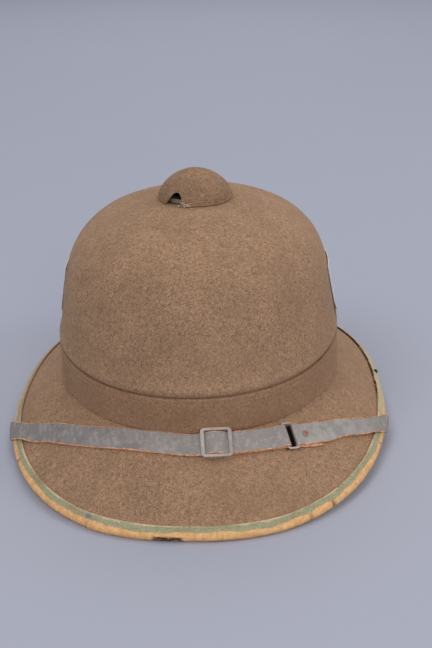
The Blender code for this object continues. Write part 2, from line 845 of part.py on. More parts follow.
def build_anchor(name, line, strap, brim):
    """Rivet inside the crown that holds the hidden end of a strap to the brim's neck."""
    turn, girth = line.place(line.total - ANCHOR_INSET)
    out = 1 - (girth - WRAP_GIRTH) / slope_length(turn)
    seat = brim_point(turn, out)
    _, _, up = brim_axes(turn, -0.1)
    frame = frame_on(seat, -up, Vector((0, 0, 1)))
    low = BRIM_FELT + FIRST_LAYER + HIDDEN_SLACK + STRAP_LEATHER / 2 + GAP
    anchor = build_rivet(name, frame, ANCHOR_SHANK_RADIUS, ANCHOR_HEAD_RADIUS,
                         low, low + ANCHOR_HEAD_HEIGHT, BRIM_FELT / 4, "grey_metal")
    for item, suffix in ((brim, "_neck_hole"), (strap, "_strap_hole")):
        hole = add_cylinder(name + suffix, ANCHOR_SHANK_RADIUS + HOLE_GAP, -low, 2 * low, frame)
        boolean(item, hole, "DIFFERENCE")
    return anchor


def build_helmet():
    clear_scene()
    crown = build_crown()
    brim = build_brim()
    build_hatband()
    build_binding()
    build_vent_cap()
    build_vent_collar()
    build_shield("shield_left", -1, crown)
    build_shield("shield_right", 1, crown)
    front = StrapFront()
    buckle_frame = front.frame(BUCKLE_PLACE)
    ring_frame = front.frame(RING_PLACE)
    long_strap = build_strap("strap_long", long_strap_rows(front, buckle_frame, ring_frame))
    short_strap = build_strap("strap_short", short_strap_rows(front, ring_frame))
    build_slide_buckle(buckle_frame)
    build_strap_ring(ring_frame)
    build_stud(front, short_strap)
    build_anchor("strap_anchor_left", front.left, long_strap, brim)
    build_anchor("strap_anchor_right", front.right, short_strap, brim)


build_helmet()
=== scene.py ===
"""Looks of a pith helmet: felt, leather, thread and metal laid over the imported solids.

Metres, +Z up, the front towards -Y. A "turn" is an angle seen from above, 0 at the front
and positive towards +X. An "out" is a share of the way from the neck to the rim.
"""

import math
import random

import bmesh
import bpy
from mathutils import Matrix, Vector, noise


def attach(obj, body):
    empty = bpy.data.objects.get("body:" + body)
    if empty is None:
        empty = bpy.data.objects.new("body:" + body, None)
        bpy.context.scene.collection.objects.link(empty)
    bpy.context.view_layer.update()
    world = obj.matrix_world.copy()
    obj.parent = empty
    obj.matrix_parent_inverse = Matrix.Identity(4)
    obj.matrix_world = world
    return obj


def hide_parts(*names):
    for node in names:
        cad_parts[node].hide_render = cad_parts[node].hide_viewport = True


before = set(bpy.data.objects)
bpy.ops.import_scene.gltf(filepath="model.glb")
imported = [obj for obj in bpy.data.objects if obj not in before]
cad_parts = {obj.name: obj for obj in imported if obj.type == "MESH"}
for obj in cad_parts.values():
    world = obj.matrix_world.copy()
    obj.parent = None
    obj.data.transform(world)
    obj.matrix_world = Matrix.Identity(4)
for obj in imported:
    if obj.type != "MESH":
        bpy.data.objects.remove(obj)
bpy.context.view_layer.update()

# Felt body, as in the solids
BRIM_WIDTH = 0.2665
BRIM_LENGTH = 0.338
BRIM_DROP = 0.0406
BRIM_FELT = 0.003
BRIM_BOW = 0.10
BRIM_POWER = 2.34
SIDE_LIFT = 0.0075
SIDE_LIFT_POWER = 1.15
FLAT_REST_TURN = math.radians(20)
NECK_HEIGHT = 0.011
CROWN_WIDTH = 0.196
CROWN_LENGTH = 0.228
CROWN_RISE = 0.095
CROWN_FELT = 0.0028
CROWN_POWER = 2.14
CROWN_TAPER = 0.166
CROWN_SHOULDER = 6.4
CROWN_ROUND = 1.6
BAND_HEIGHT = 0.0235
BAND_FELT = 0.0015
BAND_LEAN = 0.0005
BAND_SIDE_RISE = 0.003
BINDING_LEATHER = 0.0012
BINDING_WIDTH = 0.0066
EDGE_HEIGHT = 0.0032

# Vent, as in the solids, apart from the notch, which is an arch here
VENT_RADIUS = 0.025
VENT_HEIGHT = 0.0185
VENT_FELT = 0.002
VENT_SKIRT = 0.0015
VENT_HOLE_RADIUS = 0.013
VENT_METAL = 0.0008
VENT_RIM_HEIGHT = 0.002
VENT_RIM_INSET = 0.0012
VENT_SPIGOT = 0.005
NOTCH_TURN = math.radians(-29.5)
NOTCH_OUTLINE = (
    # distance to the right of the notch's middle, height above the dome's foot
    (-0.0080, -0.0040),
    (-0.0075, 0.0),
    (-0.0056, 0.0028),
    (-0.0036, 0.0060),
    (-0.0016, 0.0078),
    (0.0008, 0.0085),
    (0.0030, 0.0076),
    (0.0047, 0.0053),
    (0.0062, 0.0016),
    (0.0069, 0.0),
    (0.0073, -0.0040),
)

# Side shields, as in the solids
SHIELD_WIDTH = 0.034
SHIELD_HEIGHT = 0.040
SHIELD_METAL = 0.0009
SHIELD_LIFT = 0.0268

# Chin strap and its fittings, as in the solids, apart from the slide's sharper corners, some
# places of the routes over the brim, and how each half narrows
STRAP_WIDTH = 0.015
STRAP_LEATHER = 0.0012
FOLD_LENGTH = 0.0165
STUD_HEAD_RADIUS = 0.0022
STUD_SETBACK = 0.0068
BUCKLE_PLACE = 0.016
BUCKLE_LENGTH = 0.0195
BUCKLE_RAIL = 0.0018
BUCKLE_METAL = 0.0018
BUCKLE_CORNER = 0.0019
BAR_WIDTH = 0.0018
BAR_METAL = 0.0017
RING_PLACE = 0.0635
RING_LENGTH = 0.0086
RING_WIRE = 0.0014
RING_CORNER = 0.0018
GAP = 0.0003
SOFT_GAP = 0.0004
HOLE_GAP = 0.0004
RIM_GAP = 0.0009
SIDE_GAP = 0.0005
BAND_CLEAR = 0.0016
HIDDEN_SLACK = 0.0008
STRAP_STEP = 0.007
WRAP_STEP = 0.0026
NEAR_NECK = 0.7
SAMPLES = 400
NORMAL_STEP = 0.003
PROBE_STEP = 0.001
PROBE_TURN = 0.01
LEFT_ROUTE = (
    # face, turn in degrees, share
    ("top", 0, -0.012),
    ("top", 10, -0.030),
    ("top", 20, 0.0),
    ("top", 30, 0.098),
    ("top", 43.7, 0.328),
    ("top", 50.6, 0.532),
    ("top", 57.4, 0.775),
    ("under", 76.4, 0.72),
    ("under", 84.2, 0.36),
    ("under", 90, 0.04),
    ("under", 92, -0.24),
)
RIGHT_ROUTE = (
    # face, turn in degrees, share
    ("top", 0, -0.012),
    ("top", 10, -0.004),
    ("top", 20, 0.022),
    ("top", 30, 0.095),
    ("top", 46, 0.33),
    ("top", 54, 0.545),
    ("top", 62.4, 0.855),
    ("under", 81.2, 0.72),
    ("under", 87.4, 0.36),
    ("under", 91, 0.04),
    ("under", 92, -0.24),
)
# distance from the front, length of the change, share lost
LEFT_NARROWS = (0.110, 0.03, 0.10)
RIGHT_NARROWS = (0.082, 0.03, 0.24)
SHIELD_OUTLINE = (
    # share of half the width, share of the height above the middle
    (0.0, 0.5),
    (1.0, 0.5),
    (1.0, 0.05),
    (0.94, -0.12),
    (0.80, -0.27),
    (0.58, -0.38),
    (0.30, -0.46),
    (0.0, -0.5),
)

# Sizes that follow from the ones above
BAND_FOOT = BRIM_DROP + GAP
BAND_TOP = BAND_FOOT + BAND_HEIGHT
FOOT_INSET = BAND_LEAN + BAND_FELT + GAP
CROWN_HALF_X = CROWN_WIDTH / 2
CROWN_HALF_Y = CROWN_LENGTH / 2
NECK_HALF_X = CROWN_HALF_X - FOOT_INSET
NECK_HALF_Y = CROWN_HALF_Y - FOOT_INSET
RIM_INSET = BINDING_LEATHER + GAP
RIM_HALF_X = BRIM_WIDTH / 2 - RIM_INSET
RIM_HALF_Y = BRIM_LENGTH / 2 - RIM_INSET
CROWN_FOOT = BRIM_DROP + NECK_HEIGHT + GAP
FIRST_LAYER = SOFT_GAP + STRAP_LEATHER / 2
SECOND_LAYER = FIRST_LAYER + STRAP_LEATHER + GAP
BAR_FOOT = FIRST_LAYER + STRAP_LEATHER / 2 + GAP
RAIL_FOOT = SECOND_LAYER + STRAP_LEATHER / 2 + GAP
OVER_BAR = BAR_FOOT + BAR_METAL + GAP + STRAP_LEATHER / 2
FOLD_RADIUS = RING_WIRE / 2 + GAP + STRAP_LEATHER / 2
WRAP_RADIUS = BRIM_FELT / 2 + RIM_INSET + RIM_GAP + STRAP_LEATHER / 2
WRAP_GIRTH = math.pi * WRAP_RADIUS
BINDING_BUMP = WRAP_RADIUS - BRIM_FELT / 2 - FIRST_LAYER
BUCKLE_BREADTH = STRAP_WIDTH + 2 * (SIDE_GAP + BUCKLE_RAIL)
RING_BREADTH = STRAP_WIDTH + 2 * (SIDE_GAP + RING_WIRE)
VENT_INSIDE = VENT_RADIUS - VENT_FELT - VENT_RIM_INSET
CLEAR_LINE = BUCKLE_BREADTH / 2 + BAND_CLEAR

# Fineness of the scene's own meshes
CROWN_AROUND = 300
CROWN_UP_ROWS = 70
CROWN_TOP_ROWS = 26
BRIM_AROUND = 360
BRIM_OUT_ROWS = 52
BAND_AROUND = 400
BINDING_AROUND = 900
VENT_AROUND = 120
VENT_ROWS = 30
STRAP_ROW_STEP = 0.0007
STRAP_HALF_COLUMNS = 7

# Camera, fitted to the photograph
IMAGE_SIZE = (432, 648)
LENS = 49.95
SENSOR = 36.0
CAMERA_TARGET = Vector((0, 0, 0.060))
CAMERA_DISTANCE = 0.650
CAMERA_ELEVATION = math.radians(25.25)
CAMERA_YAW = math.radians(3.94)
CAMERA_ROLL = math.radians(-1.92)
TARGET_PIXEL = (199.7, 326.4)


# Objects and frames

def linked(name, data):
    """A new object in the scene."""
    item = bpy.data.objects.new(name, data)
    bpy.context.scene.collection.objects.link(item)
    return item


def frame_of(x_axis, y_axis, z_axis, place):
    matrix = Matrix((x_axis, y_axis, z_axis)).transposed().to_4x4()
    matrix.translation = place
    return matrix


def facing(turn):
    """The level direction outwards at a turn."""
    return Vector((math.sin(turn), -math.cos(turn), 0))


def upwards(height):
    return Vector((0, 0, height))


# Camera, lights and floor

def add_camera():
    """The camera looks at its target and then turns until the target lies at its pixel."""
    focal = LENS / SENSOR * max(IMAGE_SIZE)
    back = Vector((math.sin(CAMERA_YAW) * math.cos(CAMERA_ELEVATION),
                   -math.cos(CAMERA_YAW) * math.cos(CAMERA_ELEVATION),
                   math.sin(CAMERA_ELEVATION)))
    place = CAMERA_TARGET + back * CAMERA_DISTANCE
    ahead = -back
    level = ahead.cross(upwards(1)).normalized()
    above = level.cross(ahead)
    right = level * math.cos(CAMERA_ROLL) + above * math.sin(CAMERA_ROLL)
    up = above * math.cos(CAMERA_ROLL) - level * math.sin(CAMERA_ROLL)
    pan = math.atan((TARGET_PIXEL[0] - IMAGE_SIZE[0] / 2) / focal)
    tilt = math.atan((IMAGE_SIZE[1] / 2 - TARGET_PIXEL[1]) / focal)
    turned = ahead * math.cos(pan) - right * math.sin(pan)
    right = right * math.cos(pan) + ahead * math.sin(pan)
    ahead = turned * math.cos(tilt) - up * math.sin(tilt)
    up = up * math.cos(tilt) + turned * math.sin(tilt)
    data = bpy.data.cameras.new("camera")
    data.lens = LENS
    data.sensor_width = SENSOR
    data.sensor_fit = "AUTO"
    data.clip_start = 0.01
    data.clip_end = 50
    camera = linked("camera", data)
    camera.matrix_world = frame_of(right, up, -ahead, place)
    bpy.context.scene.camera = camera


LIGHTS = {
    # name: (place, aim, size, watts)
    "key": ((-0.9, -0.9, 1.7), (0, 0, 0.08), 0.9, 7.7),
    "front": ((0.5, -1.8, 1.1), (0, 0, 0.08), 1.0, 10.2),
    "top": ((0.1, 0.3, 2.0), (0, 0, 0.08), 1.4, 2.7),
    "right": ((1.7, -0.2, 1.1), (0, 0, 0.08), 0.9, 6.6),
    "far": ((0.0, 2.2, 2.6), (0, 2.4, 0), 2.4, 28.5),
}
LIGHT_COLOUR = (1.0, 0.985, 0.965)
WORLD_COLOUR = (0.80, 0.85, 1.0)
WORLD_STRENGTH = 0.4225


def add_light(name, place, aim, size, watts):
    data = bpy.data.lights.new(name, "AREA")
    data.shape = "DISK"
    data.size = size
    data.energy = watts
    data.color = LIGHT_COLOUR
    light = linked(name, data)
    light.location = place
    light.rotation_euler = (Vector(aim) - Vector(place)).to_track_quat("-Z", "Y").to_euler()


def add_lights():
    for name, (place, aim, size, watts) in LIGHTS.items():
        add_light(name, place, aim, size, watts)
    world = bpy.data.worlds.new("studio")
    world.use_nodes = True
    sky = world.node_tree.nodes["Background"]
    sky.inputs["Color"].default_value = (*WORLD_COLOUR, 1)
    sky.inputs["Strength"].default_value = WORLD_STRENGTH
    bpy.context.scene.world = world
    bpy.context.scene.view_settings.view_transform = "Standard"


FLOOR_HALF = 6.0


def add_floor():
    signs = ((-1, -1), (1, -1), (1, 1), (-1, 1))
    corners = [(x * FLOOR_HALF, y * FLOOR_HALF, 0) for x, y in signs]
    floor = linked("floor", new_mesh("floor", corners, [(0, 1, 2, 3)]))
    floor.data.materials.append(paper_material())


# Materials

class Look:
    """A material under construction, with short calls for the nodes used here."""

    def __init__(self, name):
        self.material = bpy.data.materials.new(name)
        self.material.use_nodes = True
        self.tree = self.material.node_tree
        self.shader = self.tree.nodes["Principled BSDF"]
        self.place = self.tree.nodes.new("ShaderNodeTexCoord").outputs["Object"]

    def link(self, value, socket):
        if isinstance(value, bpy.types.NodeSocket):
            self.tree.links.new(value, socket)
        else:
            socket.default_value = value

    def set(self, **values):
        """Sets the shader's own sockets; an underscore in a name stands for a space."""
        for name, value in values.items():
            self.link(value, self.shader.inputs[name.replace("_", " ")])

    def noise(self, per_metre, detail=3.0, roughness=0.6, distortion=0.0, place=None):
        node = self.tree.nodes.new("ShaderNodeTexNoise")
        self.tree.links.new(place or self.place, node.inputs["Vector"])
        node.inputs["Scale"].default_value = per_metre
        node.inputs["Detail"].default_value = detail
        node.inputs["Roughness"].default_value = roughness
        node.inputs["Distortion"].default_value = distortion
        return node.outputs["Fac"]

    def stretched(self, x, y, z):
        node = self.tree.nodes.new("ShaderNodeMapping")
        self.tree.links.new(self.place, node.inputs["Vector"])
        node.inputs["Scale"].default_value = (x, y, z)
        return node.outputs["Vector"]

    def mark(self, name):
        """A value that the mesh carries at each point."""
        node = self.tree.nodes.new("ShaderNodeAttribute")
        node.attribute_name = name
        return node.outputs["Fac"]

    def axis(self, name):
        node = self.tree.nodes.new("ShaderNodeSeparateXYZ")
        self.tree.links.new(self.place, node.inputs[0])
        return node.outputs[name]

    def math(self, operation, first, second=0.0):
        node = self.tree.nodes.new("ShaderNodeMath")
        node.operation = operation
        self.link(first, node.inputs[0])
        self.link(second, node.inputs[1])
        return node.outputs[0]

    def times(self, first, second):
        return self.math("MULTIPLY", first, second)

    def plus(self, first, second):
        return self.math("ADD", first, second)

    def swing(self, value, size):
        """A noise turned into a shift to both sides of 0."""
        return self.times(self.math("SUBTRACT", value, 0.5), size)

    def between(self, value, low, high):
        """0 below low, 1 above high, and smooth in between; low may be the larger one."""
        node = self.tree.nodes.new("ShaderNodeMapRange")
        node.interpolation_type = "SMOOTHSTEP"
        self.link(value, node.inputs["Value"])
        self.link(low, node.inputs["From Min"])
        self.link(high, node.inputs["From Max"])
        return node.outputs["Result"]

    def part(self, strength, value, low, high):
        """Like between, up to a strength below 1."""
        return self.times(self.between(value, low, high), strength)

    def mix(self, share, first, second):
        node = self.tree.nodes.new("ShaderNodeMix")
        node.data_type = "RGBA"
        self.link(share, node.inputs["Factor"])
        self.link((*first, 1) if isinstance(first, tuple) else first, node.inputs["A"])
        self.link((*second, 1) if isinstance(second, tuple) else second, node.inputs["B"])
        return node.outputs["Result"]

    def bump(self, height, depth, strength=1.0):
        node = self.tree.nodes.new("ShaderNodeBump")
        node.inputs["Strength"].default_value = strength
        node.inputs["Distance"].default_value = depth
        self.tree.links.new(height, node.inputs["Height"])
        normal = self.shader.inputs["Normal"]
        if normal.is_linked:
            self.tree.links.new(normal.links[0].from_socket, node.inputs["Normal"])
        self.tree.links.new(node.outputs["Normal"], normal)


def srgb(red, green, blue):
    """Linear colour from display values of 0 to 255."""
    made = []
    for value in (red, green, blue):
        share = value / 255
        made.append(share / 12.92 if share <= 0.04045 else ((share + 0.055) / 1.055) ** 2.4)
    return tuple(made)


def scaled(colour, share):
    return tuple(value * share for value in colour)


def paper_material():
    look = Look("pale_paper")
    cloud = look.noise(1.5, 2)
    grain = look.noise(900, 2)
    base = look.mix(cloud, srgb(176, 178, 190), srgb(184, 186, 197))
    colour = look.mix(look.between(grain, 0.3, 0.7), base, srgb(179, 181, 192))
    look.set(Base_Color=colour, Roughness=0.9, Specular_IOR_Level=0.2)
    look.bump(grain, 0.0002, 0.3)
    return look.material


def felt_material(name, base, grain_share=1.0):
    """Wool felt: short tangled fibres, a speckle of light and dark ones, and soft mottling."""
    look = Look(name)
    dark = scaled(base, 1 - 0.46 * grain_share)
    light = scaled(base, 1 + 0.54 * grain_share)
    fibres = look.noise(520, 4, 0.75, 1.2)
    fine = look.noise(1500, 2, 0.6)
    mottle = look.noise(38, 3, 0.6)
    wide = look.noise(9, 2)
    speckle = look.plus(look.times(fibres, 0.65), look.times(fine, 0.35))
    colour = look.mix(look.between(speckle, 0.34, 0.66), dark, light)
    colour = look.mix(look.part(0.30, mottle, 0.35, 0.7), colour, dark)
    colour = look.mix(look.part(0.12, wide, 0.35, 0.7), colour, light)
    lint = look.between(look.noise(760, 1, 0.5, 0.6), 0.735, 0.80)
    colour = look.mix(look.times(lint, 0.45), colour, scaled(base, 1.8))
    # Painted shade: near black under the vent, under the shields, in the ring's slot and inside the
    # vent cap; a darker tone over the whole vent dome.
    colour = look.mix(look.mark("painted_shade_and_tone"), colour, srgb(30, 20, 14))
    look.set(Base_Color=colour, Roughness=0.95, Specular_IOR_Level=0.15)
    look.set(Sheen_Weight=0.22, Sheen_Roughness=0.45, Sheen_Tint=(*srgb(205, 180, 155), 1))
    look.bump(speckle, 0.0006, 0.55)
    look.bump(mottle, 0.0016, 0.25)
    return look.material


def thread_material(name, base):
    look = Look(name)
    twist = look.noise(2600, 2, 0.6, place=look.stretched(1, 1, 0.4))
    soil_and_painted_shade = look.noise(60, 3)
    colour = look.mix(twist, scaled(base, 0.7), scaled(base, 1.25))
    colour = look.mix(look.part(0.45, soil_and_painted_shade, 0.45, 0.7), colour, srgb(120, 98, 72))
    look.set(Base_Color=colour, Roughness=0.85, Specular_IOR_Level=0.25, Sheen_Weight=0.2)
    look.bump(twist, 0.0002, 0.6)
    return look.material


GREEN_START = 0.0011
TAN_START = 0.0050
BOTTOM_START = 0.0122
HOLE_TURNS = (math.radians(-7.4), math.radians(-0.4))
HOLE_START = 0.0072
LAP_MARK = (0.0014, 0.0046)
LAP_HALF = 0.0024
LAP_FADE = 0.0007
LAP_SIDE_FADE = 0.0008
PALE_TURNS = (math.radians(66), math.radians(76))
REAR_RIGHT_TURNS = (math.radians(72), math.radians(84))
REAR_LEFT_TURNS = (math.radians(-60), math.radians(-74))
REAR_TURNS = (math.radians(174), math.radians(145))


def binding_material():
    """Rim leather whose green-grey finish is rubbed down to the tan hide on the outer roll, with a
    painted shadow line along the inner edge at the rear right.
    """
    look = Look("worn_binding_leather")
    across = look.mark("across")
    turn = look.mark("turn")
    hide = look.noise(300, 4, 0.7)
    pores = look.noise(1300, 3, 0.7)
    patches = look.noise(70, 4, 0.65)
    long_patches = look.noise(22, 2)
    finish = look.mix(look.between(pores, 0.3, 0.7), srgb(136, 136, 104), srgb(188, 182, 146))
    finish = look.mix(look.part(0.7, patches, 0.45, 0.66), finish, srgb(158, 136, 98))
    short_of_rear = look.between(look.math("ABSOLUTE", turn), *REAR_TURNS)
    pale = look.times(look.part(0.65, turn, *PALE_TURNS), short_of_rear)
    finish = look.mix(pale, finish, srgb(210, 198, 156))
    tan = look.mix(look.between(hide, 0.30, 0.70), srgb(220, 164, 104), srgb(246, 196, 136))
    tan = look.mix(look.part(0.35, pores, 0.58, 0.76), tan, srgb(176, 124, 78))
    shift = look.swing(patches, 0.0052)
    shift = look.plus(shift, look.swing(long_patches, 0.0030))
    shift = look.plus(shift, look.swing(pores, 0.0022))
    rear_right = look.times(look.between(turn, *REAR_RIGHT_TURNS), short_of_rear)
    place = look.plus(across, shift)
    worn = look.plus(place, look.times(rear_right, -0.0024))
    colour = look.mix(look.between(worn, TAN_START - 0.0005, TAN_START + 0.0006), finish, tan)
    cream = look.mix(pores, srgb(205, 180, 138), srgb(226, 206, 170))
    colour = look.mix(look.between(worn, GREEN_START + 0.0006, GREEN_START - 0.0003), colour, cream)
    # Darker towards the underside of the strip.
    soil_and_painted_shade = look.between(place, BOTTOM_START - 0.0012, BOTTOM_START + 0.0012)
    colour = look.mix(look.times(soil_and_painted_shade, 0.6), colour, srgb(104, 74, 50))
    # Painted shadow: a dark line along the inner edge at the rear right, broken by tan patches.
    inner = look.between(place, 0.0024, 0.0010)
    painted_shadow_line = look.mix(look.between(hide, 0.52, 0.60), srgb(66, 42, 26), srgb(188, 140, 70))
    colour = look.mix(look.times(rear_right, inner), colour, painted_shadow_line)
    rear_left = look.times(look.between(turn, *REAR_LEFT_TURNS), short_of_rear)
    rear_left = look.times(rear_left, look.between(across, BOTTOM_START, TAN_START * 2))
    colour = look.mix(look.times(rear_left, 0.72), colour, srgb(196, 180, 146))
    inner_left = look.between(place, 0.0042, 0.0028)
    colour = look.mix(look.times(rear_left, inner_left), colour, srgb(168, 138, 108))
    hole = look.times(look.mark("worn_through"), look.between(hide, 0.34, 0.46))
    colour = look.mix(hole, colour, srgb(78, 34, 22))
    colour = look.mix(look.mark("split"), colour, srgb(92, 56, 30))
    colour = look.mix(look.mark("lap"), colour, srgb(126, 128, 128))
    look.set(Base_Color=colour, Roughness=look.between(pores, -0.6, 1.1), Specular_IOR_Level=0.3)
    look.bump(hide, 0.0007, 0.5)
    look.bump(pores, 0.0003, 0.6)
    return look.material


def strap_material():
    """Grey finished leather, scuffed on its face and worn to bare hide at its edges, and painted
    near black with the shade of the ring's slot on its folds.
    """
    look = Look("grey_strap_leather")
    across = look.math("ABSOLUTE", look.mark("across"))
    face = look.mark("face")
    grain = look.noise(900, 3, 0.65)
    scuffs = look.noise(60, 4, 0.7, place=look.stretched(6, 1, 6))
    fine_lines = look.noise(110, 3, 0.7, 0.6, place=look.stretched(1, 12, 12))
    patches = look.noise(55, 4, 0.7)
    crumbs = look.noise(420, 3, 0.7)
    side = look.between(look.axis("X"), -0.13, 0.0)
    right = look.between(look.axis("X"), 0.056, 0.075)
    far = look.between(look.axis("X"), 0.095, 0.128)
    grey = look.mix(side, srgb(134, 127, 122), srgb(156, 148, 141))
    grey = look.mix(right, grey, srgb(171, 165, 156))
    grey = look.mix(far, grey, srgb(146, 138, 129))
    light = look.mix(0.4, grey, srgb(210, 200, 190))
    dark = look.mix(0.35, grey, srgb(84, 78, 78))
    colour = look.mix(look.part(0.85, scuffs, 0.48, 0.64), grey, light)
    colour = look.mix(look.part(0.7, fine_lines, 0.54, 0.66), colour, light)
    colour = look.mix(look.part(0.8, patches, 0.50, 0.66), colour, dark)
    colour = look.mix(look.part(0.25, grain, 0.35, 0.7), colour, dark)
    hide = look.mix(look.between(crumbs, 0.35, 0.65), srgb(206, 136, 90), srgb(246, 192, 148))
    chips = look.times(look.between(crumbs, 0.66, 0.72), look.between(patches, 0.50, 0.60))
    colour = look.mix(look.times(chips, 0.5), colour, hide)
    reach = look.plus(across, look.swing(crumbs, 0.16))
    reach = look.plus(reach, look.swing(patches, 0.22))
    edge = look.between(reach, 0.895, 0.945)
    under = look.between(face, 0.35, 0.15)
    bare = look.math("MAXIMUM", edge, under)
    colour = look.mix(bare, colour, hide)
    # Painted shade: near black on the folds that lie in the ring's slot.
    colour = look.mix(look.mark("soil_and_painted_shade"), colour, srgb(22, 18, 16))
    look.set(Base_Color=colour, Roughness=look.between(grain, -0.9, 1.3), Specular_IOR_Level=0.4)
    look.bump(grain, 0.0002, 0.4)
    look.bump(fine_lines, 0.0003, 0.35)
    return look.material


def fibre_material(name, base):
    look = Look(name)
    tone = look.noise(330, 2)
    low = scaled(base, 0.7)
    high = tuple(min(1.0, value * 1.25) for value in base)
    look.set(Base_Color=look.mix(look.between(tone, 0.3, 0.7), low, high), Roughness=0.9)
    look.set(Specular_IOR_Level=0.2, Sheen_Weight=0.15)
    return look.material


def painted_metal_material(name, paint, bare, wear):
    """Paint over metal, thin on the edges and speckled with small chips."""
    look = Look(name)
    edge = look.tree.nodes.new("ShaderNodeNewGeometry").outputs["Pointiness"]
    blotch = look.noise(240, 4, 0.7)
    fine = look.noise(1400, 3, 0.7)
    soft = look.noise(60, 3)
    colour = look.mix(look.between(fine, 0.3, 0.7), scaled(paint, 0.88), scaled(paint, 1.12))
    colour = look.mix(look.part(0.35, soft, 0.4, 0.65), colour, srgb(96, 92, 88))
    rub = look.plus(edge, look.swing(blotch, 0.12))
    worn = look.between(rub, 0.53, 0.56)
    chip = look.between(blotch, 0.66, 0.70)
    shown = look.times(look.math("MAXIMUM", worn, chip), wear)
    look.set(Base_Color=look.mix(shown, colour, bare), Metallic=look.times(shown, 0.8))
    look.set(Roughness=look.between(look.math("SUBTRACT", blotch, shown), -1.2, 1.2))
    look.bump(blotch, 0.0001, 0.5)
    look.bump(fine, 0.00006, 0.5)
    return look.material


def brushed_metal_material(name, base):
    """Thin stamped sheet with a satin surface and faint scratches."""
    look = Look(name)
    lines = look.noise(180, 3, 0.7, 0.3, place=look.stretched(1, 1, 9))
    fine = look.noise(2200, 2)
    soil_and_painted_shade = look.noise(120, 4, 0.7)
    colour = look.mix(look.between(lines, 0.35, 0.65), scaled(base, 0.85), scaled(base, 1.1))
    colour = look.mix(look.part(0.4, soil_and_painted_shade, 0.5, 0.7), colour, srgb(128, 122, 112))
    look.set(Base_Color=colour, Metallic=0.25, Roughness=look.between(soil_and_painted_shade, -0.3, 1.4))
    look.bump(lines, 0.00006, 0.4)
    look.bump(fine, 0.00004, 0.4)
    return look.material


def copper_material():
    look = Look("worn_copper")
    blotch = look.noise(520, 4, 0.7)
    fine = look.noise(2400, 2)
    colour = look.mix(look.between(blotch, 0.35, 0.65), srgb(164, 100, 80), srgb(190, 128, 104))
    colour = look.mix(look.part(0.3, fine, 0.5, 0.7), colour, srgb(110, 66, 52))
    colour = look.mix(look.mark("rim"), colour, srgb(176, 160, 150))
    look.set(Base_Color=colour, Metallic=0.35, Roughness=look.between(blotch, -0.6, 1.3))
    look.bump(blotch, 0.00008, 0.6)
    return look.material


# Form of the felt body

def oval(half_x, half_y, power, turn):
    """Plan of a rounded oval: half its width, half its length and its squareness."""
    reach = (abs(math.sin(turn)) / half_x) ** power + (abs(math.cos(turn)) / half_y) ** power
    radius = reach ** (-1 / power)
    return radius * math.sin(turn), -radius * math.cos(turn)


def turns(count):
    return [2 * math.pi * i / count for i in range(count)]


def blend(low, high, share):
    return low + (high - low) * share


def smooth(share):
    share = min(max(share, 0.0), 1.0)
    return share * share * (3 - 2 * share)


def window(value, low, high, fade):
    """1 between low and high, and 0 beyond them."""
    return smooth((value - low) / fade) * smooth((high - value) / fade)


def signed_turn(turn):
    return (turn + math.pi) % (2 * math.pi) - math.pi


def rim_lift(turn):
    """Height of the underside of the rim: zero at front and rear, raised at the sides."""
    start = math.sin(FLAT_REST_TURN)
    share = max(0.0, (abs(math.sin(turn)) - start) / (1 - start))
    return SIDE_LIFT * share ** SIDE_LIFT_POWER


def slope_length(turn):
    x_in, y_in = oval(NECK_HALF_X, NECK_HALF_Y, CROWN_POWER, turn)
    x_out, y_out = oval(RIM_HALF_X, RIM_HALF_Y, BRIM_POWER, turn)
    drop = BRIM_DROP - EDGE_HEIGHT - rim_lift(turn)
    return math.hypot(math.hypot(x_out, y_out) - math.hypot(x_in, y_in), drop)


def brim_point(turn, out):
    """A point of the brim's upper face, on the upright neck where out is below 0."""
    share = max(out, 0.0)
    half_x = blend(NECK_HALF_X, RIM_HALF_X, share)
    half_y = blend(NECK_HALF_Y, RIM_HALF_Y, share)
    power = blend(CROWN_POWER, BRIM_POWER, share)
    x, y = oval(half_x, half_y, power, turn)
    edge = EDGE_HEIGHT + rim_lift(turn)
    fallen = (1 - BRIM_BOW) * share + BRIM_BOW * share * share
    z = blend(BRIM_DROP, edge, fallen) + max(-out, 0.0) * slope_length(turn)
    return Vector((x, y, z))


def brim_axes(turn, out):
    """Unit vectors at a point of the brim: round the hat, down the slope, and up from it."""
    step = NORMAL_STEP / slope_length(turn)
    round_hat = brim_point(turn + step, out) - brim_point(turn - step, out)
    down = brim_point(turn, out + step) - brim_point(turn, out - step)
    up = down.cross(round_hat).normalized()
    if up.z < -1e-6:
        up = -up
    round_hat.normalize()
    return round_hat, round_hat.cross(up), up


def crown_share(up):
    """Share of the crown's half width at a share of its rise."""
    return (1 - up ** CROWN_SHOULDER) ** (1 / CROWN_ROUND) * (1 - CROWN_TAPER * up)


def crown_rise_at(share):
    """Share of the rise at which the crown has narrowed to a share of its width."""
    low, high = 0.0, 1.0
    for _ in range(40):
        middle = (low + high) / 2
        if crown_share(middle) > share:
            low = middle
        else:
            high = middle
    return low


def crown_point(turn, up):
    share = crown_share(up)
    x, y = oval(CROWN_HALF_X * share, CROWN_HALF_Y * share, CROWN_POWER, turn)
    base = BAND_TOP + BAND_SIDE_RISE * math.sin(turn) ** 2 * (1 - up)
    return Vector((x, y, base + CROWN_RISE * up))


def crown_height(x, y):
    """Height of the crown's top face over a point near its middle."""
    share = ((abs(x) / CROWN_HALF_X) ** CROWN_POWER
             + (abs(y) / CROWN_HALF_Y) ** CROWN_POWER) ** (1 / CROWN_POWER)
    return BAND_TOP + CROWN_RISE * crown_rise_at(share)


def band_edge(turn):
    return BAND_TOP + BAND_SIDE_RISE * math.sin(turn) ** 2


def foot_point(turn, inset, z):
    x, y = oval(CROWN_HALF_X - inset, CROWN_HALF_Y - inset, CROWN_POWER, turn)
    return Vector((x, y, z))


# Meshes and pieces

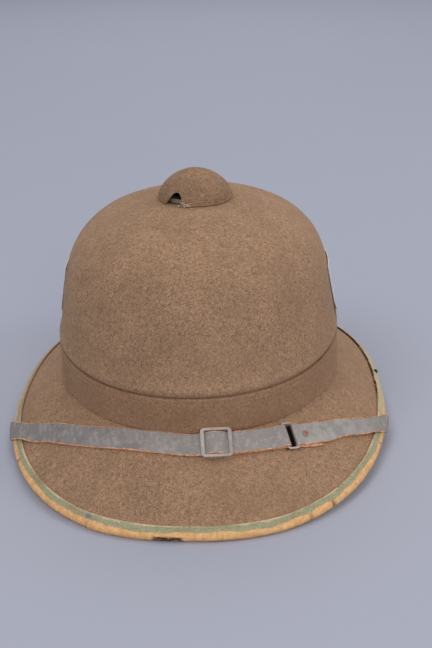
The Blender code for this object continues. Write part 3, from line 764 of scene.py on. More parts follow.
# length, height and octaves of the waves in each surface
CROWN_WAVES = ((0.045, 0.00035, 2), (0.004, 0.00004, 2))
BRIM_WAVES = ((0.035, 0.00022, 2), (0.004, 0.00003, 2))
BAND_WAVES = ((0.02, 0.00008, 2),)
BINDING_WAVES = ((0.007, 0.00016, 3), (0.0016, 0.00006, 2))
HOLE_WAVES = ((0.003, 0.0009, 2),)
VENT_WAVES = ((0.012, 0.00022, 2), (0.0035, 0.00005, 2))
SLIDE_WAVES = ((0.003, 0.00004, 2),)
RING_WAVES = ((0.002, 0.00003, 2),)
KNOB_WAVES = ((0.0011, 0.0005, 2),)


def new_mesh(name, points, faces, marks=None):
    """A mesh; marks names values, one for each point."""
    mesh = bpy.data.meshes.new(name)
    mesh.from_pydata(points, [], faces)
    for label, values in (marks or {}).items():
        add_mark(mesh, label, values)
    mesh.update()
    return mesh


def add_mark(mesh, label, values):
    """A value for each point, which a material can read."""
    mesh.attributes.new(label, "FLOAT", "POINT").data.foreach_set("value", values)


def with_faces(mesh, more, marks=None):
    """A copy of the mesh with more faces over the same points."""
    points = [vertex.co.copy() for vertex in mesh.vertices]
    faces = [tuple(face.vertices) for face in mesh.polygons]
    return new_mesh(mesh.name, points, faces + more, marks)


def end_faces(mesh, count):
    """The first and the last row of a grid, each as one face."""
    total = len(mesh.vertices)
    return tuple(range(count)), tuple(range(total - count, total))


def flat(rows):
    return [value for row in rows for value in row]


def grid_mesh(name, rows, closed_rows=False, closed_ring=False, marks=None):
    """Quads between neighbouring rows of points; marks names rows of values like them."""
    count = len(rows[0])
    total = len(rows)
    faces = []
    for i in range(total if closed_ring else total - 1):
        k = (i + 1) % total
        for j in range(count if closed_rows else count - 1):
            n = (j + 1) % count
            faces.append((i * count + j, i * count + n, k * count + n, k * count + j))
    marks = {label: flat(values) for label, values in (marks or {}).items()}
    return new_mesh(name, flat(rows), faces, marks)


def push(mesh, amount):
    """Moves each point along its normal by amount(point, index)."""
    normals = [vertex.normal.copy() for vertex in mesh.vertices]
    moves = [amount(vertex.co, vertex.index) for vertex in mesh.vertices]
    for vertex, normal, move in zip(mesh.vertices, normals, moves):
        vertex.co += normal * move
    mesh.update()


def rough(point, waves):
    """Soft random relief: the sum of waves, each of a length, a height and a count of octaves."""
    return sum(depth * noise.fractal(point / wave, 1.0, 2.0, octaves)
               for wave, depth, octaves in waves)


def roughen(mesh, waves):
    push(mesh, lambda point, index: rough(point, waves))


def add_piece(name, mesh, finish, slot, *replaced, sharp=None):
    mesh.shade_smooth()
    if sharp:
        mesh.set_sharp_from_angle(angle=math.radians(sharp))
    mesh.materials.append(finish)
    piece = linked(name, mesh)
    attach(piece, "root")
    if replaced:
        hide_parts(*replaced)
    return piece


def outward_faces(mesh):
    """Turns the faces so that the body's volume is positive."""
    volume = 0.0
    for face in mesh.polygons:
        corners = [mesh.vertices[i].co for i in face.vertices]
        for b, c in zip(corners[1:], corners[2:]):
            volume += corners[0].dot(b.cross(c))
    if volume < 0:
        mesh.flip_normals()
    return mesh


def closed_mesh(name, sections, marks=None):
    """A body whose sections go all the way round."""
    return outward_faces(grid_mesh(name, sections, True, True, marks))


def baked(item):
    """The object's mesh with its modifiers applied, and the object removed."""
    graph = bpy.context.evaluated_depsgraph_get()
    mesh = bpy.data.meshes.new_from_object(item.evaluated_get(graph))
    bpy.data.objects.remove(item, do_unlink=True)
    return mesh


def walled(mesh, thickness, cutter=None):
    """The sheet mesh given a thickness inward, and cut by a mesh if there is one."""
    mesh.shade_smooth()
    item = linked(mesh.name + "_wall", mesh)
    wall = item.modifiers.new("Wall", "SOLIDIFY")
    wall.thickness = thickness
    wall.offset = -1.0
    if cutter:
        tool = linked(mesh.name + "_cutter", cutter)
        cut = item.modifiers.new("Cut", "BOOLEAN")
        cut.operation = "DIFFERENCE"
        cut.object = tool
    made = baked(item)
    if cutter:
        bpy.data.objects.remove(tool, do_unlink=True)
    return made


def thread_tube(points, radius, sides=6):
    """Vertices and faces of a thin closed tube along a few points, thinner at its ends."""
    verts = []
    faces = []
    last = len(points) - 1
    for i, point in enumerate(points):
        ahead = (points[min(i + 1, last)] - points[max(i - 1, 0)]).normalized()
        side = ahead.orthogonal().normalized()
        other = ahead.cross(side)
        size = radius * (0.35 if i in (0, last) else 1.0)
        for k in range(sides):
            angle = 2 * math.pi * k / sides
            verts.append(point + (side * math.cos(angle) + other * math.sin(angle)) * size)
    for i in range(last):
        for k in range(sides):
            n = (k + 1) % sides
            faces.append((i * sides + k, i * sides + n, (i + 1) * sides + n, (i + 1) * sides + k))
    faces.append(tuple(reversed(range(sides))))
    faces.append(tuple(range(last * sides, (last + 1) * sides)))
    return verts, faces


def tubes_mesh(name, paths, radius_of, sides):
    verts = []
    faces = []
    for i, path in enumerate(paths):
        own, own_faces = thread_tube(path, radius_of(i), sides)
        faces += [tuple(index + len(verts) for index in face) for face in own_faces]
        verts += own
    return new_mesh(name, verts, faces)


# Crown, brim and band

LIP_HEIGHT = 0.0046
LIP_START = 0.0007
LIP_ROWS = 9
LIP_TUCK = 0.0004
CROWN_SIDE_TOP = 0.90
LIP_SWELL = 0.0008
LIP_SWELL_UP = 0.045
LIP_SWELL_REACH = 0.036


def lip_swell(up):
    """The crown's foot stands a little proud where it hangs over the band."""
    return LIP_SWELL * math.exp(-((up - LIP_SWELL_UP) / LIP_SWELL_REACH) ** 2)


def shade_and_tone_marked(mesh, depth_at):
    """Marks how dark the felt is painted at each point, from 0 to 1: painted shade, and on the
    vent's dome a darker tone as well.
    """
    add_mark(mesh, "painted_shade_and_tone", [depth_at(vertex) for vertex in mesh.vertices])
    return mesh


BRIM_CALM_IN = 0.05
BRIM_CALM_OUT = 0.93
# Painted shade on the felt: how it fades, and how far and how dark it reaches under the shields,
# under the vent and in the ring's slot.
PAINTED_SHADE_FADE = 0.0016
SHIELD_SHADE_REACH = 0.006
SHIELD_SHADE = 0.6
VENT_SHADE = 0.9
VENT_SHADE_INSET = 0.002
RING_SHADE_PAST = 0.001
RING_SHADE_INSET = 0.0002


def inside_box(place, half_x, half_y, fade):
    """1 well inside a rectangle round the origin, 0 beyond it."""
    return smooth((half_x - abs(place.x)) / fade) * smooth((half_y - abs(place.y)) / fade)


def build_crown(felt):
    around = turns(CROWN_AROUND)
    start_up = LIP_HEIGHT / CROWN_RISE
    rows = [[foot_point(turn, FOOT_INSET, CROWN_FOOT) for turn in around]]
    rows.append([foot_point(turn, FOOT_INSET, band_edge(turn) - LIP_TUCK) for turn in around])
    for i in range(LIP_ROWS + 1):
        angle = math.pi / 2 * i / LIP_ROWS
        row = []
        for turn in around:
            top = crown_point(turn, start_up)
            foot = foot_point(turn, FOOT_INSET, band_edge(turn) + LIP_START)
            outward = Vector((top.x, top.y, 0)).normalized() * lip_swell(start_up)
            point = foot.lerp(top + outward, math.sin(angle))
            point.z = blend(foot.z, top.z, 1 - math.cos(angle))
            row.append(point)
        rows.append(row)
    for i in range(1, CROWN_UP_ROWS + 1):
        up = blend(start_up, CROWN_SIDE_TOP, i / CROWN_UP_ROWS)
        row = []
        for turn in around:
            point = crown_point(turn, up)
            row.append(point + Vector((point.x, point.y, 0)).normalized() * lip_swell(up))
        rows.append(row)
    edge = rows[-1]
    for i in range(1, CROWN_TOP_ROWS + 1):
        share = i / CROWN_TOP_ROWS
        row = []
        for turn, outer in zip(around, edge):
            x = blend(outer.x, VENT_HOLE_RADIUS * math.sin(turn), share)
            y = blend(outer.y, -VENT_HOLE_RADIUS * math.cos(turn), share)
            height = crown_height(x, y)
            row.append(Vector((x, y, blend(outer.z, height, smooth(share * 4)))))
        rows.append(row)
    mesh = grid_mesh("felt_crown", rows, closed_rows=True)
    held = VENT_RADIUS * 1.1

    def relief(point, index):
        free = smooth((math.hypot(point.x, point.y) - held) / held)
        free *= smooth((point.z - BAND_TOP) / LIP_HEIGHT)
        return free * rough(point, CROWN_WAVES)

    push(mesh, relief)
    plates = [shield_matrix(side).inverted() for side in (-1, 1)]
    middle = upwards(BAND_TOP)

    # Painted shade on the crown's top under the vent, and painted shadow under each shield plate,
    # up to its edges.
    def painted_shade_and_tone(vertex):
        outside = smooth(vertex.normal.dot((vertex.co - middle).normalized()) / 0.3)
        inward = VENT_RADIUS - VENT_SHADE_INSET - math.hypot(vertex.co.x, vertex.co.y)
        depth = VENT_SHADE * smooth(inward / PAINTED_SHADE_FADE)
        for to_plate in plates:
            place = to_plate @ vertex.co
            if abs(place.z) < SHIELD_SHADE_REACH:
                shade = inside_box(place, SHIELD_WIDTH / 2, SHIELD_HEIGHT / 2, PAINTED_SHADE_FADE)
                depth = max(depth, SHIELD_SHADE * shade)
        return depth * outside

    wall = shade_and_tone_marked(walled(mesh, CROWN_FELT), painted_shade_and_tone)
    return add_piece("felt_crown", wall, felt, "felt", "crown", sharp=40)


def build_brim(felt, ring):
    around = turns(BRIM_AROUND)
    rows = []
    for i in range(BRIM_OUT_ROWS, -1, -1):
        out = i / BRIM_OUT_ROWS
        rows.append([brim_point(turn, out) for turn in around])
    for share in (0.25, 0.6, 1.0):
        rise = upwards(NECK_HEIGHT * share)
        rows.append([brim_point(turn, 0.0) + rise for turn in around])
    mesh = grid_mesh("felt_brim", rows, closed_rows=True)

    def relief(point, index):
        out = 1 - index // BRIM_AROUND / BRIM_OUT_ROWS
        free = smooth((out - BRIM_CALM_IN) / 0.15) * smooth((BRIM_CALM_OUT - out) / 0.1)
        return free * rough(point, BRIM_WAVES)

    push(mesh, relief)
    to_ring = ring.inverted()

    # Painted shade on the brim in the ring's slot, between the two folds of the strap.
    def painted_shade_and_tone(vertex):
        shade = inside_box(to_ring @ vertex.co, RING_LENGTH / 2 + RING_SHADE_PAST,
                           RING_BREADTH / 2 - RING_SHADE_INSET, PAINTED_SHADE_FADE)
        return smooth(vertex.normal.z / 0.3) * shade

    wall = shade_and_tone_marked(walled(mesh, BRIM_FELT), painted_shade_and_tone)
    return add_piece("felt_brim", wall, felt, "felt", "brim", sharp=40)


BAND_ROUND = 0.0007
BAND_FLARE = 0.0017
BAND_FLARE_HEIGHT = 0.0075
BAND_FLARE_FRONT = 0.0001
BAND_FLARE_TURN = 0.75
BAND_FLARE_FADE = 0.35
BAND_SWELL = 0.00025
BAND_SIDE_ROWS = 18
BAND_ROUND_ROWS = 4


def band_flare(turn):
    """How far the band's foot spreads: little at the front, where the strap lies."""
    side = smooth((abs(signed_turn(turn)) - BAND_FLARE_TURN) / BAND_FLARE_FADE)
    return blend(BAND_FLARE_FRONT, BAND_FLARE, side)


def band_outside(turn, share):
    """A point of the band's outer face, at a share of its height."""
    z = blend(BAND_FOOT, band_edge(turn), share)
    spread = band_flare(turn) * max(0.0, 1 - (z - BAND_FOOT) / BAND_FLARE_HEIGHT) ** 2
    swell = BAND_SWELL * math.sin(math.pi * share)
    return foot_point(turn, BAND_LEAN * (1 - share) - spread - swell, z)


def build_band(felt):
    sections = []
    for turn in turns(BAND_AROUND):
        outward = facing(turn)
        edge = band_edge(turn)
        section = [band_outside(turn, i / BAND_SIDE_ROWS) for i in range(BAND_SIDE_ROWS)]
        section[-1].z = min(section[-1].z, edge - BAND_ROUND)
        top = foot_point(turn, BAND_ROUND, edge - BAND_ROUND)
        for i in range(1, BAND_ROUND_ROWS + 1):
            angle = math.pi / 2 * i / BAND_ROUND_ROWS
            rise = upwards(BAND_ROUND * math.sin(angle))
            section.append(top + outward * BAND_ROUND * math.cos(angle) + rise)
        section.append(foot_point(turn, BAND_FELT, edge))
        section.append(foot_point(turn, BAND_FELT + BAND_LEAN / 2, (BAND_FOOT + edge) / 2))
        section.append(foot_point(turn, BAND_FELT + BAND_LEAN, BAND_FOOT))
        sections.append(section)
    mesh = closed_mesh("felt_band", sections)
    roughen(mesh, BAND_WAVES)
    return add_piece("felt_band", mesh, felt, "band_felt", "hatband", sharp=60)


BAND_STITCH_DROP = 0.0038
BAND_STITCH = {"pitch": 0.0030, "length": 0.0021, "radius": 0.00017, "rise": 1.6}


def stitch_path(point_at, start, length, raise_by):
    """A short thread that rises out of the surface and goes back into it."""
    points = []
    for i in range(5):
        share = i / 4
        point, up = point_at(start + (share - 0.5) * length)
        points.append(point + up * (raise_by * math.sin(math.pi * share) - 0.35 * raise_by))
    return points


def build_stitches(name, round_hat, point_at, stitch, thread, slot):
    """Stitches all round the hat, at the places that point_at gives."""
    count = int(2 * math.pi * round_hat / stitch["pitch"])
    length = stitch["length"] / round_hat
    paths = []
    for i in range(count):
        turn = 2 * math.pi * i / count
        paths.append(stitch_path(point_at, turn, length, stitch["radius"] * stitch["rise"]))
    mesh = tubes_mesh(name, paths, lambda i: stitch["radius"], 5)
    return add_piece(name, mesh, thread, slot)


def build_band_stitches(thread):
    share = 1 - BAND_STITCH_DROP / BAND_HEIGHT
    round_hat = (CROWN_HALF_X + CROWN_HALF_Y) / 2

    def point_at(turn):
        return band_outside(turn, share), facing(turn)

    return build_stitches("band_stitches", round_hat, point_at, BAND_STITCH, thread, "band_felt")


# Binding of the rim

ROLL_RADIUS = 0.0023
ROLL_STEPS = 8
FLAT_STEPS = 8
FACE_BULGE = 0.0001
EDGE_SOFT = 0.00025
FOOT_BEVEL = 0.0004
LAP_TURN = math.radians(-21.5)
LAP_RISE = 0.00035
BINDING_LOWEST = 0.00002
LAP_START_FADE = 0.004
LAP_REACH = 0.35
LAP_END_FADE = 0.3
SPLIT_START = 0.0045
SPLIT_FADE = 0.002
CUT_START = 0.004
CUT_FADE = 0.003
HOLE_FADE = 0.001
HOLE_TURN_FADE = 0.02
UNDERSIDE_START = BOTTOM_START + 0.003
SPLITS = (
    # turn in degrees, half width, depth
    (32.5, 0.0008, 0.0013),
    (26.2, 0.0006, 0.0010),
    (-21.4, 0.0005, 0.0009),
    (58.0, 0.0005, 0.0006),
    (-50.0, 0.0006, 0.0006),
)


def binding_section(turn):
    """Outline of the folded strip across the rim, with how far round it each point lies."""
    corner = brim_point(turn, 1.0)
    _, outward, up = brim_axes(turn, 1.0)
    sine = -outward.z
    cosine = up.z
    inside = GAP
    outside = GAP + BINDING_LEATHER
    below = BRIM_FELT + outside
    foot_h = (-EDGE_HEIGHT + outside * sine) / cosine
    foot_d = (EDGE_HEIGHT - below * cosine) / sine
    width = BINDING_WIDTH
    edge = -width + EDGE_SOFT
    path = [(-width, inside + 0.2 * BINDING_LEATHER)]
    path += [(-width - FACE_BULGE, outside - 0.4 * BINDING_LEATHER), (edge, outside)]
    centre = outside - ROLL_RADIUS
    for i in range(1, FLAT_STEPS):
        share = i / FLAT_STEPS
        path.append((blend(edge, centre, share), outside + FACE_BULGE * math.sin(math.pi * share)))
    for i in range(ROLL_STEPS + 1):
        angle = math.pi / 2 * (1 - i / ROLL_STEPS)
        path.append((centre + ROLL_RADIUS * math.cos(angle),
                     centre + ROLL_RADIUS * math.sin(angle)))
    path += [(outside, foot_h + FOOT_BEVEL), (outside - FOOT_BEVEL, foot_h)]
    path += [(blend(outside, foot_d, share), blend(foot_h, -below, share)) for share in (0.5, 1.0)]
    path += [(blend(foot_d, -width, share), -below) for share in (0.35, 0.7, 1.0)]
    path += [(-width, -BRIM_FELT - inside), (inside, -BRIM_FELT - inside), (inside, inside)]
    points = [corner + outward * d + up * h for d, h in path]
    across = [0.0]
    for before, after in zip(path, path[1:]):
        across.append(across[-1] + math.hypot(after[0] - before[0], after[1] - before[1]))
    return points, across


def split_depth(turn):
    """How deep the splits cut into the roll at a turn, and how dark they are there."""
    radius = math.hypot(*oval(RIM_HALF_X, RIM_HALF_Y, BRIM_POWER, turn))
    depth = 0.0
    shade = 0.0
    for degrees, half, deep in SPLITS:
        off = (signed_turn(turn) - math.radians(degrees)) * radius / half
        near = math.exp(-off * off)
        depth += deep * near
        shade = max(shade, near)
    return depth, shade


def build_binding(leather):
    sections = []
    marks = {name: [] for name in ("across", "turn", "split", "worn_through", "lap")}
    for turn in turns(BINDING_AROUND):
        points, across = binding_section(turn)
        side = signed_turn(turn)
        _, shade = split_depth(turn)
        hole = window(side, *HOLE_TURNS, HOLE_TURN_FADE)
        sections.append(points)
        marks["across"].append(across)
        marks["turn"].append([side] * len(points))
        marks["split"].append([shade * smooth((place - SPLIT_START) / SPLIT_FADE)
                               for place in across])
        marks["worn_through"].append([hole * smooth((place - HOLE_START) / HOLE_FADE)
                                      for place in across])
        off = abs(side - LAP_TURN) * math.hypot(points[0].x, points[0].y)
        lap = smooth((LAP_HALF - off) / LAP_SIDE_FADE)
        marks["lap"].append([lap * smooth((place - LAP_MARK[0]) / LAP_FADE)
                             * smooth((LAP_MARK[1] - place) / LAP_FADE) for place in across])
    mesh = closed_mesh("leather_binding", sections, marks)
    places, sides, holes = (flat(marks[name]) for name in ("across", "turn", "worn_through"))

    def relief(point, index):
        place = places[index]
        side = sides[index]
        if place > UNDERSIDE_START:
            return 0.0
        depth, _ = split_depth(side)
        on_roll = smooth((place - CUT_START) / CUT_FADE)
        past = side - LAP_TURN
        lap = LAP_RISE * smooth(past / LAP_START_FADE) * smooth((LAP_REACH - past) / LAP_END_FADE)
        pit = holes[index] * rough(point, HOLE_WAVES)
        return rough(point, BINDING_WAVES) - depth * on_roll + lap - abs(pit)

    push(mesh, relief)
    for vertex in mesh.vertices:
        vertex.co.z = max(vertex.co.z, BINDING_LOWEST)
    mesh.update()
    return add_piece("leather_binding", mesh, leather, "binding_leather", "brim_binding",
                     sharp=70)


RIM_STITCH_INSET = 0.0011
RIM_STITCH = {"pitch": 0.0031, "length": 0.0024, "radius": 0.00021, "rise": 1.5}


def build_binding_stitches(thread):
    round_hat = (RIM_HALF_X + RIM_HALF_Y) / 2

    def point_at(turn):
        _, outward, up = brim_axes(turn, 1.0)
        place = brim_point(turn, 1.0) + outward * (RIM_STITCH_INSET - BINDING_WIDTH)
        return place + up * (GAP + BINDING_LEATHER + 0.0001), up

    return build_stitches("binding_stitches", round_hat, point_at, RIM_STITCH, thread,
                          "binding_leather")


# Vent

DOME_POWER = 1.66
DOME_RISE = 0.0012
DOME_CURL = 0.0004
# A darker tone over the whole dome, and painted shade on its inner faces.
DOME_TONE = 0.17
DOME_SHADE = 0.96


def vent_base(turn, radius, lift):
    x = radius * math.sin(turn)
    y = -radius * math.cos(turn)
    return Vector((x, y, crown_height(x, y) + lift))


def arch_mesh(name, outline, low, high, matrix, steps=5):
    """A closed block whose section is a smooth arch, with X up and Z through it."""
    spots = [Vector((up, -across)) for across, up in outline]
    smooth_spots = [spots[0]]
    for i in range(1, len(spots) - 2):
        for k in range(steps):
            smooth_spots.append(curve_between(*spots[i - 1:i + 3], k / steps))
    smooth_spots += spots[-2:]
    verts = [matrix @ Vector((spot.x, spot.y, z)) for z in (low, high) for spot in smooth_spots]
    count = len(smooth_spots)
    faces = [(i, (i + 1) % count, count + (i + 1) % count, count + i) for i in range(count)]
    faces += [tuple(reversed(range(count))), tuple(range(count, 2 * count))]
    return tidy_normals(new_mesh(name, verts, faces))


def frame_on(point, up, hint):
    """A frame whose Z is up and whose X is as near as it can be to hint."""
    up = up.normalized()
    across = (hint - up * hint.dot(up)).normalized()
    return frame_of(across, up.cross(across), up, point)


def build_vent_dome(felt):
    around = turns(VENT_AROUND)
    rows = []
    for lift in (0.0, VENT_SKIRT * 0.5, VENT_SKIRT):
        row = []
        for turn in around:
            seat = vent_base(turn, VENT_RADIUS - VENT_FELT, SOFT_GAP + lift)
            outward = facing(turn)
            curl = DOME_CURL * (1 - lift / VENT_SKIRT)
            row.append(seat + outward * (VENT_FELT + curl))
        rows.append(row)
    foot = rows[-1]
    top = crown_height(0, VENT_RADIUS) + VENT_HEIGHT + DOME_RISE
    for i in range(1, VENT_ROWS + 1):
        angle = math.radians(89) * i / VENT_ROWS
        narrow = math.cos(angle) ** (2 / DOME_POWER)
        high = math.sin(angle) ** (2 / DOME_POWER)
        row = []
        for point in foot:
            row.append(Vector((point.x * narrow, point.y * narrow, blend(point.z, top, high))))
        rows.append(row)
    mesh = grid_mesh("felt_vent", rows, closed_rows=True)
    mesh = with_faces(mesh, [end_faces(mesh, VENT_AROUND)[1]])
    roughen(mesh, VENT_WAVES)
    side = facing(NOTCH_TURN)
    edge = vent_base(NOTCH_TURN, VENT_RADIUS, 0)
    matrix = frame_on(edge, side, upwards(1))
    cutter = arch_mesh("notch", NOTCH_OUTLINE, -VENT_RADIUS / 2, VENT_RADIUS / 2, matrix)
    middle = upwards(crown_height(0, 0))

    # Painted shade on the dome's inner faces, and a darker tone over the whole dome.
    def painted_shade_and_tone(vertex):
        away = (vertex.co - middle).normalized()
        return max(DOME_TONE, DOME_SHADE * smooth((-vertex.normal.dot(away) - 0.1) / 0.2))

    wall = shade_and_tone_marked(walled(mesh, VENT_FELT, cutter), painted_shade_and_tone)
    return add_piece("felt_vent", wall, felt, "felt", "vent_cap", sharp=50)


def build_vent_ring(metal):
    spigot = VENT_HOLE_RADIUS - HOLE_GAP
    sections = []
    for turn in turns(VENT_AROUND):
        direction = facing(turn)
        seat = vent_base(turn, VENT_INSIDE, SOFT_GAP).z
        shoulder = vent_base(turn, VENT_HOLE_RADIUS, SOFT_GAP).z
        rim = seat + VENT_METAL + VENT_RIM_HEIGHT
        bead = VENT_METAL * 0.3
        profile = (
            (spigot, shoulder - VENT_SPIGOT),
            (spigot, shoulder),
            (VENT_INSIDE - bead, seat),
            (VENT_INSIDE, seat + bead),
            (VENT_INSIDE, rim - bead),
            (VENT_INSIDE - bead, rim),
            (VENT_INSIDE - VENT_METAL + bead, rim),
            (VENT_INSIDE - VENT_METAL, rim - bead),
            (VENT_INSIDE - VENT_METAL, seat + VENT_METAL),
            (spigot - VENT_METAL, shoulder + VENT_METAL),
            (spigot - VENT_METAL, shoulder - VENT_SPIGOT),
        )
        sections.append([direction * r + upwards(z) for r, z in profile])
    mesh = closed_mesh("metal_vent_ring", sections)
    return add_piece("metal_vent_ring", mesh, metal, "vent_metal", "vent_collar", sharp=40)


# Side shields

PLATE_BEND = 0.150
SHIELD_RIM = 0.0011
SHIELD_ROUND = 0.0003


def shield_matrix(side):
    """Frame on the crown's side: X along the hat, Y up the wall, Z out of it."""
    up = SHIELD_LIFT / CROWN_RISE
    turn = side * math.pi / 2
    step = 0.5 * SHIELD_HEIGHT / CROWN_RISE
    seat = crown_point(turn, up)
    rise = (crown_point(turn, up + step) - crown_point(turn, up - step)).normalized()
    along = Vector((0, side, 0))
    return frame_of(along, rise, along.cross(rise), seat)


def outline_loop(inset, per_edge=10):
    """The shield's outline, closed, moved inwards, with points along each edge."""
    half = [Vector((x * SHIELD_WIDTH / 2, y * SHIELD_HEIGHT)) for x, y in SHIELD_OUTLINE]
    corners = half + [Vector((-point.x, point.y)) for point in reversed(half[1:-1])]
    middle = Vector((0, 0.02 * SHIELD_HEIGHT))
    loop = []
    for start, end in zip(corners, corners[1:] + corners[:1]):
        steps = max(2, int((end - start).length / SHIELD_HEIGHT * per_edge * 2))
        for i in range(steps):
            loop.append(start.lerp(end, i / steps))
    shrunk = []
    for point in loop:
        away = point - middle
        shrunk.append(middle + away * (1 - inset / max(away.length, 1e-6)))
    return shrunk


def build_shield(name, side, metal, node):
    """A bare plate with a low raised border and softly rounded edges."""
    matrix = shield_matrix(side)
    low = SOFT_GAP
    high = SOFT_GAP + SHIELD_METAL
    layers = (
        (SHIELD_ROUND, low),
        (0.0, low + SHIELD_ROUND),
        (0.0, high - SHIELD_ROUND),
        (SHIELD_ROUND, high),
        (SHIELD_RIM, high),
        (SHIELD_RIM + 0.0004, high - 0.0003),
        (0.006, high - 0.00028),
        (0.011, high - 0.00026),
        (0.0155, high - 0.00025),
    )
    rows = []
    for inset, z in layers:
        spots = [(p.x, p.y, z - p.x * p.x / (2 * PLATE_BEND)) for p in outline_loop(inset)]
        rows.append([matrix @ Vector(spot) for spot in spots])
    mesh = grid_mesh(name, rows, closed_rows=True)
    first, last = end_faces(mesh, len(rows[0]))
    plate = with_faces(mesh, [last, first[::-1]])
    return add_piece(name, outward_faces(plate), metal, "shield_metal", node, sharp=45)


# Chin strap

def skin(turn, girth, lift):
    """A point above the brim, round its bound edge, or below it."""
    length = slope_length(turn)
    if girth < 0:
        inward, tilt = -girth, 0.0
    elif girth < WRAP_GIRTH:
        inward, tilt = 0.0, girth / WRAP_RADIUS
    else:
        inward, tilt = girth - WRAP_GIRTH, math.pi
        lift += HIDDEN_SLACK * smooth(inward / BINDING_WIDTH)
    out = 1 - (inward + BRIM_FELT / 3) / length
    _, outward, up = brim_axes(turn, out)
    over = 1 - smooth((inward - BINDING_WIDTH - GAP) / BINDING_WIDTH)
    away = up * math.cos(tilt) + outward * math.sin(tilt)
    middle = brim_point(turn, out) - up * BRIM_FELT / 2
    return middle + away * (BRIM_FELT / 2 + lift + BINDING_BUMP * over)


def curve_between(before, start, end, after, t):
    """Smooth curve from start to end; works for numbers and for vectors."""
    square = 2 * before - 5 * start + 4 * end - after
    cube = 3 * start - before - 3 * end + after
    return 0.5 * (2 * start + (end - before) * t + square * t * t + cube * t * t * t)


def curves_between(before, start, end, after, t):
    """The same for lists of numbers or vectors."""
    return [curve_between(*four, t) for four in zip(before, start, end, after)]


def catmull_rom(points, share):
    spans = len(points) - 1
    place = min(max(share, 0.0), 1.0) * spans
    i = min(int(place), spans - 1)
    before = points[max(i - 1, 0)]
    after = points[min(i + 2, spans)]
    return curves_between(before, points[i], points[i + 1], after, place - i)


class StrapLine:
    """The middle line of the strap on one side, walked by its length from the front."""

    def __init__(self, side, route):
        points = []
        for face, degrees, share in route:
            turn = math.radians(degrees) * side
            length = slope_length(turn)
            if face == "top":
                points.append((turn, (share - 1) * (length - CLEAR_LINE)))
            else:
                points.append((turn, WRAP_GIRTH + (1 - share) * length))
        self.places = [catmull_rom(points, i / SAMPLES) for i in range(SAMPLES + 1)]
        self.lengths = [0.0]
        spots = [skin(turn, girth, FIRST_LAYER) for turn, girth in self.places]
        for before, after in zip(spots, spots[1:]):
            self.lengths.append(self.lengths[-1] + (after - before).length)
        self.total = self.lengths[-1]

    def place(self, distance):
        distance = min(max(distance, 0.0), self.total)
        for i in range(1, len(self.lengths)):
            if self.lengths[i] >= distance:
                break
        span = self.lengths[i] - self.lengths[i - 1]
        share = (distance - self.lengths[i - 1]) / span
        return [blend(a, b, share) for a, b in zip(self.places[i - 1], self.places[i])]

    def spread(self, distance, lift, widths):
        """Points across the strap, square to its line, at a distance along it."""
        turn, girth = self.place(distance)
        ahead = self.place(distance + PROBE_STEP)
        behind = self.place(distance - PROBE_STEP)
        by_turn = skin(turn + PROBE_TURN, girth, lift) - skin(turn - PROBE_TURN, girth, lift)
        by_turn /= 2 * PROBE_TURN
        by_girth = skin(turn, girth + PROBE_STEP, lift) - skin(turn, girth - PROBE_STEP, lift)
        by_girth /= 2 * PROBE_STEP
        forward = by_turn * (ahead[0] - behind[0]) + by_girth * (ahead[1] - behind[1])
        sideways = -forward.dot(by_girth)
        down = forward.dot(by_turn)
        size = (by_turn * sideways + by_girth * down).length
        row = []
        for width in widths:
            share = width / size
            row.append(skin(turn + sideways * share, girth + down * share, lift))
        return row

    def steps(self, start, end):
        """Distances from start to end, close together at the rim and near the neck."""
        found = [start]
        while found[-1] < end:
            turn, girth = self.place(found[-1])
            near_rim = -BINDING_WIDTH < girth < WRAP_GIRTH + BINDING_WIDTH
            near_neck = girth > WRAP_GIRTH + NEAR_NECK * slope_length(turn)
            found.append(found[-1] + (WRAP_STEP if near_rim or near_neck else STRAP_STEP))
        found[-1] = end
        if found[-1] - found[-2] < WRAP_STEP / 2:
            del found[-2]
        return found


class StrapFront:
    """The strap seen as one line: distances below 0 run to the left, above 0 to the right."""

    def __init__(self):
        self.left = StrapLine(-1, LEFT_ROUTE)
        self.right = StrapLine(1, RIGHT_ROUTE)
        half = STRAP_HALF_COLUMNS
        self.widths = [STRAP_WIDTH / 2 * i / half for i in range(-half, half + 1)]

    def row(self, distance, lift):
        start, reach, share = LEFT_NARROWS if distance < 0 else RIGHT_NARROWS
        kept = 1 - share * smooth((abs(distance) - start) / reach)
        widths = [width * kept if width > 0 else width for width in self.widths]
        if distance < 0:
            return self.left.spread(-distance, lift, [-width for width in widths])
        return self.right.spread(distance, lift, widths)

    def frame(self, distance):
        """Frame of a flat fitting: X along the strap, Z away from the brim."""
        low = self.row(distance, 0.0)
        middle = STRAP_HALF_COLUMNS
        step = 2 * PROBE_STEP
        ahead = self.row(distance + step, 0.0)[middle] - self.row(distance - step, 0.0)[middle]
        across = low[-1] - low[0]
        up = across.cross(ahead)
        if up.z < 0:
            up = -up
        return frame_on(low[middle], up, ahead)


def flat_row(front, matrix, along, height):
    return [matrix @ Vector((along, -width, height)) for width in front.widths]


def fold_rows(front, matrix, direction):
    """The strap as it turns back round one bar of the ring, from over it to under it."""
    bar = -direction * (RING_LENGTH - RING_WIRE) / 2
    centre = BAR_FOOT + RING_WIRE / 2
    rows = []
    for degrees in (90, 54, 18, -18, -54, -90):
        angle = math.radians(degrees)
        along = bar + direction * FOLD_RADIUS * math.cos(angle)
        rows.append(flat_row(front, matrix, along, centre + FOLD_RADIUS * math.sin(angle)))
    return rows


def hook_rows(front, matrix):
    """The end of the long strap, hooked round the foot and the far side of the buckle's bar."""
    radius = GAP + STRAP_LEATHER / 2
    edge = -BAR_WIDTH / 2
    rows = [flat_row(front, matrix, 0.0, FIRST_LAYER)]
    for degrees in (0, 30, 60, 90):
        angle = math.radians(degrees)
        rows.append(flat_row(front, matrix, edge - radius * math.sin(angle),
                             BAR_FOOT - radius * math.cos(angle)))
    rows.append(flat_row(front, matrix, edge - radius, BAR_FOOT + 0.75 * BAR_METAL))
    return rows


